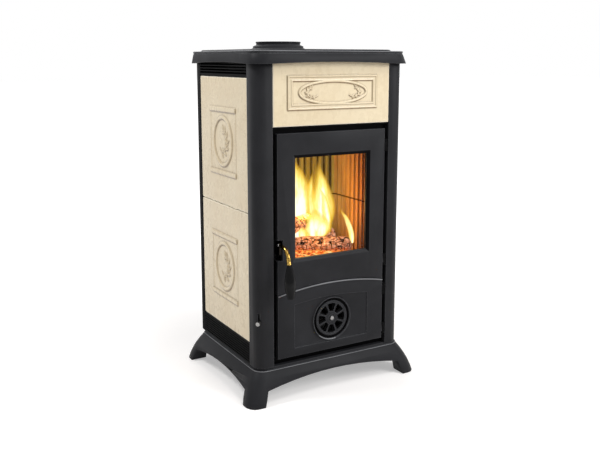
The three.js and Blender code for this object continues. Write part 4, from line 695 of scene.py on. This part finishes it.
def relief_grid(width, height, spacing, relief):
    """Places across and up a tile's face, how far each stands out, and how brown the glaze is there: where it
    pools beside the relief, and painted shade on slopes facing down and sideways.
    """
    u, v = np.meshgrid(tile_knots(width, spacing), tile_knots(height, spacing))
    over_u = np.maximum(np.abs(u) - (width / 2 - EDGE_ROUND), 0)
    over_v = np.maximum(np.abs(v) - (height / 2 - EDGE_ROUND), 0)
    over = np.minimum(np.hypot(over_u, over_v), EDGE_ROUND)
    drop = EDGE_ROUND - np.sqrt(np.maximum(EDGE_ROUND ** 2 - over ** 2, 0))
    raised = relief(u, v)
    fall = np.gradient(raised, axis=0) / np.gradient(v, axis=0)
    lean = np.gradient(raised, axis=1) / np.gradient(u, axis=1)
    # glaze that pools in hollows beside the relief, plus painted shade on slopes that face down and to one
    # side
    pooled_and_shaded = np.clip((blurred(raised) - raised) * 1.1, 0, 0.45) + np.clip(fall * 0.75 + lean * 0.25, 0, 0.75)
    return u, v, raised - drop * 0.75, np.clip(pooled_and_shaded, 0, 0.92)


def tile(node_name, across, out, relief, spacing):
    """A tile in place of its CAD node. Its face carries the relief, and its back is flat."""
    lo, hi = (np.array(corner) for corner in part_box(node_name))
    across, out = np.array(across), np.array(out)
    size = (hi - lo) / MM
    width, height, thickness = abs(size @ across), size[2], abs(size @ out)
    back_middle = (lo + hi) / 2 - out * thickness * MM / 2
    u, v, h, pooled_and_shaded = relief_grid(width, height, spacing, relief)
    faces, border = skirted_grid(*u.shape)
    flat = back_middle + (u.reshape(-1, 1) * across + v.reshape(-1, 1) * np.array((0, 0, 1))) * MM
    face = flat + (thickness - RELIEF_HEIGHT + h.reshape(-1, 1)) * MM * out
    inset = np.minimum(width / 2 - np.abs(u), height / 2 - np.abs(v)).reshape(-1)
    glaze = np.concatenate([pooled_and_shaded.reshape(-1), np.zeros(len(border))])
    rim = np.concatenate([1 - smooth_step(inset, RIM_FROM, RIM_TO), np.ones(len(border))])
    piece("glazed_" + node_name, list(face) + list(flat[border]), faces, "tile_glaze", "casing",
          replaces=node_name, attributes={"pooled_and_shaded": glaze, "rim": rim}, smooth=50)


def make_tiles():
    for side, sign in (("left", -1), ("right", 1)):
        for level in ("upper", "lower"):
            tile(f"{side}_{level}_tile", (0, sign, 0), (sign, 0, 0), side_relief, SIDE_GRID)
    tile("front_tile", (1, 0, 0), (0, -1, 0), front_relief, FRONT_GRID)


# ---------------------------------------------------------------- the fire

# name, middles of the two ends and radius in millimetres, seed
LOGS = (
    ("front_log", (110, -103.4, 372.3), (-101, 32.4, 372.3), 23, 3),
    ("back_log", (5, 31.4, 372.3), (125, 22.4, 372.3), 23, 5),
    ("upper_log", (-120, -48.4, 421.6), (59, 30.4, 421.6), 26, 9),
)
LOG_AROUND, LOG_STEP = 84, 1.7 * MM
LOG_RIM = 4 * MM
LOG_END = ((0.0, 0.5), (0.0, 0.86), (0.35, 0.96))  # share of the rim and of the radius
CUT_WITHIN = 0.9  # the cut face reaches to this share of the radius
CRACK_WIDTH, BARK_SCALE, SAW_MARKS = 0.16, 82.0, 1.2 * MM
SLANT, SLANT_REACH = 0.5, 60 * MM  # the first end is sawn askew


def log_stations(length):
    """A log's rings from end to end: distance along it, share of its radius, and how much it is cut face."""
    end = [(t * LOG_RIM, share, 1.0 if share < CUT_WITHIN else 0.4) for t, share in LOG_END]
    steps = int(length / LOG_STEP)
    bark = [(LOG_RIM + (length - 2 * LOG_RIM) * k / steps, 1.0, 0.0) for k in range(steps + 1)]
    return end + bark + [(length - along, share, cut) for along, share, cut in reversed(end)]


def make_log(name, start, end, radius, seed):
    """A burning log: its bark is broken into plates by cracks, and its cut ends are charred."""
    start, end, radius = Vector(start) * MM, Vector(end) * MM, radius * MM
    axis = (end - start).normalized()
    side = axis.cross(Vector((0, 0, 1))).normalized()
    up = side.cross(axis)
    offset = Vector((seed * 3.7, seed * 1.3, seed * 0.7))
    stations = log_stations((end - start).length)
    verts, crack, under, cut_end = [], [], [], []
    for along, scale, cut in stations:
        for k in range(LOG_AROUND):
            turn = 2 * math.pi * k / LOG_AROUND
            away = side * math.cos(turn) + up * math.sin(turn)
            core = start + axis * along
            spot = (core + away * radius) * BARK_SCALE + offset
            near = noise.voronoi(Vector((spot.x * 0.75, spot.y * 0.9, spot.z)))[0]
            split = max(0.0, 1 - (near[1] - near[0]) / CRACK_WIDTH)
            knobs = noise.fractal(spot * 0.35, 1.0, 2.0, 3)
            push = (-0.10 - 0.085 * split + 0.055 * knobs) if cut < 1 else -0.10
            reach = radius * scale * (1 + push)
            wave = 0.0 if cut < 1 else SAW_MARKS * noise.noise(spot * 1.4)
            wave += max(0.0, 1 - along / SLANT_REACH) * SLANT * (radius + (away * reach).dot(side))
            verts.append(core + away * reach + axis * wave)
            crack.append(min(1.0, split * 1.2))
            under.append(max(0.0, -away.z) * 0.9 + 0.06)
            cut_end.append(cut)
    faces = tube_walls(len(stations), LOG_AROUND)
    first, last = len(verts), len(verts) + 1
    last_ring = first - LOG_AROUND
    for k in range(LOG_AROUND):
        nxt = (k + 1) % LOG_AROUND
        faces += [(first, nxt, k), (last, last_ring + k, last_ring + nxt)]
    verts += [start, end]
    piece("burning_" + name, verts, faces, "charred_wood", "casing", replaces=name, smooth=60,
          attributes={"crack": crack + [0.6] * 2, "under": under + [0.1] * 2, "cut_end": cut_end + [1.0] * 2})


EMBER_STEP = 1.9 * MM
LUMPS_PER_METRE = 58


def make_embers():
    """The bed of coals: a mound of lumps on the grate."""
    lo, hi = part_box("ember_bed")
    middle, half, size = (lo + hi) / 2, (hi - lo) / 2, hi - lo
    cols, rows = int(size.x / EMBER_STEP), int(size.y / EMBER_STEP)
    verts, crack = [], []
    for r in range(rows + 1):
        for c in range(cols + 1):
            x, y = lo.x + size.x * c / cols, lo.y + size.y * r / rows
            edge = max(abs(x - middle.x) / half.x, abs(y - middle.y) / half.y)
            spot = Vector((x, y, 0.3)) * LUMPS_PER_METRE
            near = noise.voronoi(spot)[0]
            lump = min(1.0, (near[1] - near[0]) / 0.5)
            swell = 0.5 + 0.5 * noise.noise(spot * 0.4)
            rise = 1 - max(0.0, edge - 0.72) / 0.28 * 0.65
            top = (0.62 + 0.24 * lump ** 0.6 + 0.10 * swell) * rise
            verts.append((x, y, lo.z + size.z * min(1.0, top)))
            crack.append(1 - lump)
    faces, border = skirted_grid(rows + 1, cols + 1)
    verts += [(verts[i][0], verts[i][1], lo.z) for i in border]
    crack += [0.5] * len(border)
    piece("glowing_embers", verts, faces, "embers", "casing", replaces="ember_bed", smooth=60,
          attributes={"crack": crack})


# name, root (x, y, z), tip (x, y, z), half width, bow sideways, thickness, all in millimetres
FLAMES = (
    ("flame_left", (10, 38, 396), (-28, 34, 652), 68, 12, 12),
    ("flame_tall", (58, 4, 384), (72, 6, 606), 46, 10, 12),
    ("flame_core", (34, -24, 384), (40, -20, 470), 50, 4, 14),
    ("flame_streak", (80, -14, 398), (66, -8, 530), 15, 6, 8),
    ("flame_wisp", (50, 14, 430), (44, 14, 572), 16, -5, 8),
    ("flame_low", (-22, -22, 376), (-34, -18, 446), 40, 3, 12),
    ("flame_small", (131, -70, 366), (100, -62, 474), 13, 8, 8),
)
FLAME_ROWS, FLAME_COLS, FLAME_TIP = 40, 16, 0.4 * MM
FLAME_WANDER, FLAME_RIPPLE, FLAME_TWIST = 5 * MM, 3 * MM, 0.35


def flame_width(t):
    """A flame's width along its height: a quick swell, then a long taper."""
    return math.sin(math.pi * min(1.0, t * 0.94 + 0.06) ** 0.62) ** 0.85


def make_flame(name, root, tip, half_width, bow, thickness):
    """A tongue of flame, lens-shaped in section, that wavers as it rises."""
    root, tip = Vector(root) * MM, Vector(tip) * MM
    seed = sum(ord(c) for c in name) * 0.137
    sections, across, along = [], [], []
    for r in range(FLAME_ROWS + 1):
        t = r / FLAME_ROWS
        wander = FLAME_WANDER * noise.noise(Vector((seed, t * 3.5, 0.0))) * t
        sway = math.sin(t * math.pi * 1.3) * bow * MM + wander
        middle = root.lerp(tip, t) + Vector((sway, 0, 0))
        half = max(half_width * MM * flame_width(t), FLAME_TIP) if t < 1 else FLAME_TIP
        turn = FLAME_TWIST * math.sin(t * 3.1 + seed)
        direction = Vector((math.cos(turn), math.sin(turn), 0))
        facing = Vector((math.sin(turn), -math.cos(turn), 0))
        section = []
        for face, columns in ((1, range(FLAME_COLS + 1)), (-1, range(FLAME_COLS - 1, 0, -1))):
            for c in columns:
                s = -1 + 2 * c / FLAME_COLS
                bulge = face * thickness / 2 * MM * (1 - s * s) * math.sin(math.pi * (0.08 + 0.88 * t)) ** 0.5
                ripple = FLAME_RIPPLE * noise.noise(Vector((s * 1.3 + seed, t * 4.0, 2.0)))
                section.append(middle + direction * (s * half) + facing * (bulge + ripple))
                across.append(abs(s))
                along.append(t)
        sections.append(section)
    loft(name, sections, "flame", "casing", slot="embers", smooth=80,
         attributes={"across": across, "along": along})


# name, place in metres, power in watts
FIRE_LAMPS = (("fire_glow", (0.02, 0.0, 0.46), 2.4), ("fire_glow_low", (0.00, -0.10, 0.41), 0.30))
FIRE_LAMP_SIZE, FIRE_LIGHT = 0.03, (1.0, 0.60, 0.13)


def make_fire():
    """The logs, coals and flames, and the light that they give."""
    for entry in LOGS:
        make_log(*entry)
    make_embers()
    for entry in FLAMES:
        make_flame(*entry)
    for name, place, power in FIRE_LAMPS:
        data = bpy.data.lights.new(name, "POINT")
        data.energy, data.color, data.shadow_soft_size = power, FIRE_LIGHT, FIRE_LAMP_SIZE
        put_lamp(name, data, place)


# ---------------------------------------------------------------- rosette, handle and beads

WINDOWS, WINDOW_COLUMNS, FULL_HALF = 8, 8, 18.0  # how many, faces along each, half angle past the windows
WINDOW_EDGE = ((18.5, 12.0), (19.5, 15.5), (21.5, 17.6), (24.0, 18.4), (35.0, 19.2), (38.5, 19.0),
               (40.6, 17.8), (41.5, 15.5))  # radius in millimetres and half angle in degrees
HUB_RINGS = ((4.2, 0.0), (6.4, 0.0), (6.9, 1.6), (9.9, 1.6), (10.4, 0.0))  # radius and depth
RIM_RINGS = ((44.2, 0.0), (45.4, -0.9), (48.0, -0.9), (48.9, 0.0))


def make_rosette():
    """The air rosette: a rimmed disc with eight round-cornered windows and a ring sunk round its hub."""
    lo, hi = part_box("rosette")
    middle = (lo + hi) / 2
    rings = [(r, depth, FULL_HALF) for r, depth in HUB_RINGS] + [(r, 0.0, half) for r, half in WINDOW_EDGE] \
        + [(r, depth, FULL_HALF) for r, depth in RIM_RINGS]
    first, last = len(HUB_RINGS), len(HUB_RINGS) + len(WINDOW_EDGE) - 1
    sector = 360 / WINDOWS
    verts, front, back = [], [], []
    for radius, depth, half in rings:
        turns = []
        for w in range(WINDOWS):
            turns += [w * sector - half + 2 * half * c / WINDOW_COLUMNS for c in range(WINDOW_COLUMNS + 1)]
            turns.append((w + 0.5) * sector)
        for rows, y in ((front, lo.y + depth * MM), (back, hi.y)):
            rows.append(range(len(verts), len(verts) + len(turns)))
            verts += [(middle.x + radius * MM * math.cos(math.radians(t)), y,
                       middle.z + radius * MM * math.sin(math.radians(t))) for t in turns]
    cols = WINDOWS * (WINDOW_COLUMNS + 2)

    def solid(r, c):
        in_window = first <= r < last and c % (WINDOW_COLUMNS + 2) < WINDOW_COLUMNS
        return 0 <= r < len(rings) - 1 and not in_window

    faces = []
    for r in range(len(rings) - 1):
        for c in range(cols):
            n = (c + 1) % cols
            if not solid(r, c):
                continue
            faces.append((front[r][c], front[r][n], front[r + 1][n], front[r + 1][c]))
            faces.append((back[r][n], back[r][c], back[r + 1][c], back[r + 1][n]))
            sides = ((solid(r - 1, c), (r, c), (r, n)), (solid(r + 1, c), (r + 1, n), (r + 1, c)),
                     (solid(r, (c - 1) % cols), (r + 1, c), (r, c)), (solid(r, n), (r, n), (r + 1, n)))
            for inside, a, b in sides:
                if not inside:
                    faces.append((front[a[0]][a[1]], front[b[0]][b[1]], back[b[0]][b[1]], back[a[0]][a[1]]))
    obj = piece("air_rosette", verts, faces, "iron_paint", "rosette", replaces="rosette", smooth=30)
    soften(obj, 0.45 * MM, 40)


GRIP_HALF_WIDTH, GRIP_HALF_DEPTH = 15.5 * MM, 11.7 * MM
GRIP_TOP_Y, GRIP_FOOT_Y = -215.62 * MM, -224.62 * MM
NECK_BEND_Y, NECK_BEND_Z = -210.46 * MM, 393.5 * MM  # where the neck straightens towards the grip
GRIP_STEPS = 44
GRIP_SHAPE = ((0, 0.40), (0.1, 0.55), (0.3, 0.82), (0.5, 1.0), (0.68, 0.97), (0.88, 0.76), (0.97, 0.60),
              (1.0, 0.57))  # share of the length and of the greatest width
FERRULE = ((0.0, 5.2), (1.2, 6.4), (4.0, 6.4), (5.0, 5.7), (14.5, 5.3), (15.6, 6.0), (17.4, 6.0),
           (18.4, 5.0))  # distance above the grip and radius in millimetres
FERRULE_LIFT = 0.3 * MM


def grip_line():
    """The grip's top and its foot, at its CAD node's ends."""
    lo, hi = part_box("handle_grip")
    x = (lo.x + hi.x) / 2
    return Vector((x, GRIP_TOP_Y, hi.z)), Vector((x, GRIP_FOOT_Y, lo.z))


def make_grip():
    """The black grip: one smooth drop, cut flat at its foot."""
    top, foot = grip_line()
    across = Vector((1, 0, 0))
    deep = (foot - top).normalized().cross(across)
    at = np.linspace(0, 1, GRIP_STEPS + 1)
    size = np.interp(at, *zip(*GRIP_SHAPE))
    for _ in range(12):
        size[1:-1] = (size[:-2] + size[1:-1] + size[2:]) / 3
    sections = [ring_round(top.lerp(foot, t), across, deep, GRIP_HALF_WIDTH * k, GRIP_HALF_DEPTH * k)
                for t, k in zip(at, size)]
    obj = loft("smooth_grip", sections, "black_grip", "door_handle", replaces="handle_grip", smooth=50)
    soften(obj, 0.8 * MM, 50)


def make_ferrule():
    """The brass collar between the neck and the grip."""
    top, _ = grip_line()
    axis = (Vector((top.x, NECK_BEND_Y, NECK_BEND_Z)) - top).normalized()
    across = Vector((1, 0, 0))
    deep = axis.cross(across)
    sections = [ring_round(top + axis * (above * MM + FERRULE_LIFT), across, deep, r * MM, r * MM)
                for above, r in FERRULE]
    loft("grip_ferrule", sections, "brass", "door_handle", smooth=35)


DOOR_HALF, SEAM_FALL = 165.3 * MM, 17.5 * MM  # the seam between the doors falls to its ends
BEAD_SIDES, SEAM_STEPS, LIP_AROUND = 10, 48, 96
DOOR_BEAD_RADIUS, DOOR_BEAD_SUNK, DOOR_BEAD_BELOW = 1.9 * MM, 0.2 * MM, 1.7 * MM
DOOR_BEAD_SHARE = 0.996  # of the door's width
# half width, front, rear, front and rear corner, height and radius of a bead round the casing, in millimetres
BEADS_AROUND = (
    ("base_rim_bead", (227.6, -175.2, 200, 30, 30, 83.2), 1.1),
    ("plate_bead", (231.5, -187.1, 206.9, 46, 6, 905.7), 1.0),
)
LIP_PROFILE = ((56.7, 0.3), (56.8, -0.1), (58.9, -1.3), (59.3, -1.3), (59.6, 0.3))  # radius and depth
LIP_HIGHLIGHT_BELOW, LIP_HIGHLIGHT_TO = -40 * MM, 12 * MM  # only the lip's foot gets the painted highlight


def bead(name, path, radius, body, closed=False):
    """A half-sunk round bead along a path of points, in light grey paint as a painted highlight; its section
    stands across the path.
    """
    sections = []
    count = len(path)
    for k, spot in enumerate(path):
        before = path[k - 1] if closed or k else spot
        after = path[(k + 1) % count] if closed or k < count - 1 else spot
        along = (after - before).normalized()
        level = along.cross(Vector((0, 0, 1))).normalized()
        sections.append(ring_round(spot, level, level.cross(along), radius, radius, BEAD_SIDES))
    loft(name, sections, "painted_highlight", body, closed=closed, slot="iron_paint", smooth=60)


def rounded_outline(half_x, front, rear, radius, rear_radius, z, arc=8):
    """Points round a rectangle with rounded corners, all in millimetres, turning left."""
    points = []
    for side, y, r, start in ((1, front + radius, radius, -90), (1, rear - rear_radius, rear_radius, 0),
                              (-1, rear - rear_radius, rear_radius, 90), (-1, front + radius, radius, 180)):
        for k in range(arc + 1):
            turn = math.radians(start + 90 * k / arc)
            points.append(Vector((side * (half_x - r) + r * math.cos(turn), y + r * math.sin(turn), z)) * MM)
    return points


def make_door_bead():
    """The bead along the ash door's arched top."""
    lo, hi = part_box("ash_door")
    path = []
    for k in range(SEAM_STEPS + 1):
        x = DOOR_HALF * (2 * k / SEAM_STEPS - 1) * DOOR_BEAD_SHARE
        seam = hi.z - SEAM_FALL * (x / DOOR_HALF) ** 2
        path.append(Vector((x, lo.y + DOOR_BEAD_SUNK, seam - DOOR_BEAD_BELOW)))
    bead("ash_door_bead", path, DOOR_BEAD_RADIUS, "ash_door")


def make_beads_around():
    """The beads round the base's rim and the top plate."""
    for name, outline, radius in BEADS_AROUND:
        bead(name, rounded_outline(*outline), radius * MM, "casing", closed=True)


def make_lip():
    """The raised lip of the rosette's seat, with a painted highlight at its foot."""
    low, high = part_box("rosette")
    middle = (low + high) / 2
    face_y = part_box("ash_door")[0].y
    across, up = Vector((1, 0, 0)), Vector((0, 0, 1))
    sections = [ring_round(Vector((middle.x, face_y + depth * MM, middle.z)), across, up,
                           radius * MM, radius * MM, LIP_AROUND) for radius, depth in LIP_PROFILE]
    lip = loft("rosette_seat_lip", sections, "painted_highlight", "ash_door", closed=True, slot="iron_paint",
               smooth=30)
    lip.data.materials.append(MATERIALS["iron_paint"])
    for face in lip.data.polygons:
        off = face.center - middle
        if off.z > LIP_HIGHLIGHT_BELOW or off.x > LIP_HIGHLIGHT_TO:
            face.material_index = 1


def round_over(obj, voxel, rounds):
    """A cast piece: its facets are melted into one smooth skin."""
    remesh = obj.modifiers.new("skin", "REMESH")
    remesh.mode, remesh.voxel_size, remesh.use_smooth_shade = "VOXEL", voxel, True
    smooth = obj.modifiers.new("melt", "SMOOTH")
    smooth.factor, smooth.iterations = 0.5, rounds


# ---------------------------------------------------------------- everything in order

NECK_VOXEL, NECK_ROUNDS = 0.7 * MM, 8
SOFTENED = {  # bevel widths in millimetres
    "base_casting": 2.0, "top_plate": 1.2, "flue_collar": 0.8, "front_left_post": 1.0,
    "front_right_post": 1.0, "rear_left_post": 0.6, "rear_right_post": 0.6, "fire_door": 1.6, "ash_door": 2.4,
    "rosette_screw": 0.4, "front_plate": 0.6, "hearth_plate": 0.6, "grate": 0.5, "baffle_plate": 0.8,
}
FINE_EDGED = ("front_left_post", "fire_door", "ash_door", "front_plate", "grate")  # their bevels stay small
# nodes in recesses and out of the light: nearly black paint as painted shade
IN_PAINTED_SHADE = ("front_plate", "rear_left_post", "rear_right_post", "left_lower_grille", "left_upper_grille",
          "right_lower_grille", "right_upper_grille", "left_side_panel", "right_side_panel",
          "fire_door_upper_pin", "fire_door_lower_pin", "ash_door_upper_pin", "ash_door_lower_pin")
BACK_LININGS = ("back_lower_lining", "back_upper_lining")
HINGE_SIDE = 166 * MM  # beyond this the doors have only their hinge knuckles
WINDOW_HALF, WINDOW_TOP, WINDOW_FOOT, WINDOW_SLOPE = 111 * MM, 637 * MM, 368 * MM, 8 * MM
SEAT_RADIUS = 57.5 * MM


def darken(obj, dark_place):
    """The faces whose middles lie in a dark place get the nearly black paint of painted shade."""
    obj.data.materials.append(MATERIALS["painted_shade"])
    for face in obj.data.polygons:
        if dark_place(face.center):
            face.material_index = 1


def darken_fire_door():
    """Painted shade on its knuckles, and on the slopes at the right of its window and above it."""
    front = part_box("fire_door")[0].y
    outer, top = WINDOW_HALF + WINDOW_SLOPE, WINDOW_TOP + WINDOW_SLOPE

    def dark(spot):
        right = WINDOW_HALF - MM < spot.x < outer and WINDOW_FOOT < spot.z < top
        above = WINDOW_TOP - MM < spot.z < top and abs(spot.x) < outer
        return spot.x > HINGE_SIDE or ((right or above) and spot.y > front + 0.5 * MM)
    darken(frame["nodes"]["fire_door"], dark)


def darken_ash_door():
    """Painted shade on its knuckles and in the seat round its rosette, but not on its back."""
    lo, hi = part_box("ash_door")
    middle = sum(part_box("rosette"), Vector()) / 2

    def dark(spot):
        off = math.hypot(spot.x - middle.x, spot.z - middle.z)
        return spot.x > HINGE_SIDE or (off < SEAT_RADIUS and lo.y + 2 * MM < spot.y < hi.y - MM)
    darken(frame["nodes"]["ash_door"], dark)


def dress_nodes():
    """Each CAD node gets a material, most of them their slot's, and the listed ones softened edges."""
    slots = {entry["node"]: entry["material_slot"] for entry in frame["record"]["subparts"]}
    for name, obj in frame["nodes"].items():
        # nodes out of the light get the painted shade's nearly black paint
        finish = "painted_shade" if name in IN_PAINTED_SHADE else "back_lining" if name in BACK_LININGS else slots[name]
        obj.data.materials.clear()
        obj.data.materials.append(MATERIALS[finish])
        if not obj.hide_render:
            shade_by_angle(obj.data, 32)
            if name in SOFTENED:
                soften(obj, SOFTENED[name] * MM, clamp=name in FINE_EDGED)
    darken_fire_door()
    darken_ash_door()
    round_over(frame["nodes"]["handle_neck"], NECK_VOXEL, NECK_ROUNDS)


make_camera()
make_world()
make_floor()
make_lamps()
make_tiles()
make_fire()
make_rosette()
make_grip()
make_ferrule()
make_door_bead()
make_lip()
make_beads_around()
dress_nodes()
bpy.context.scene.view_settings.view_transform = "Standard"
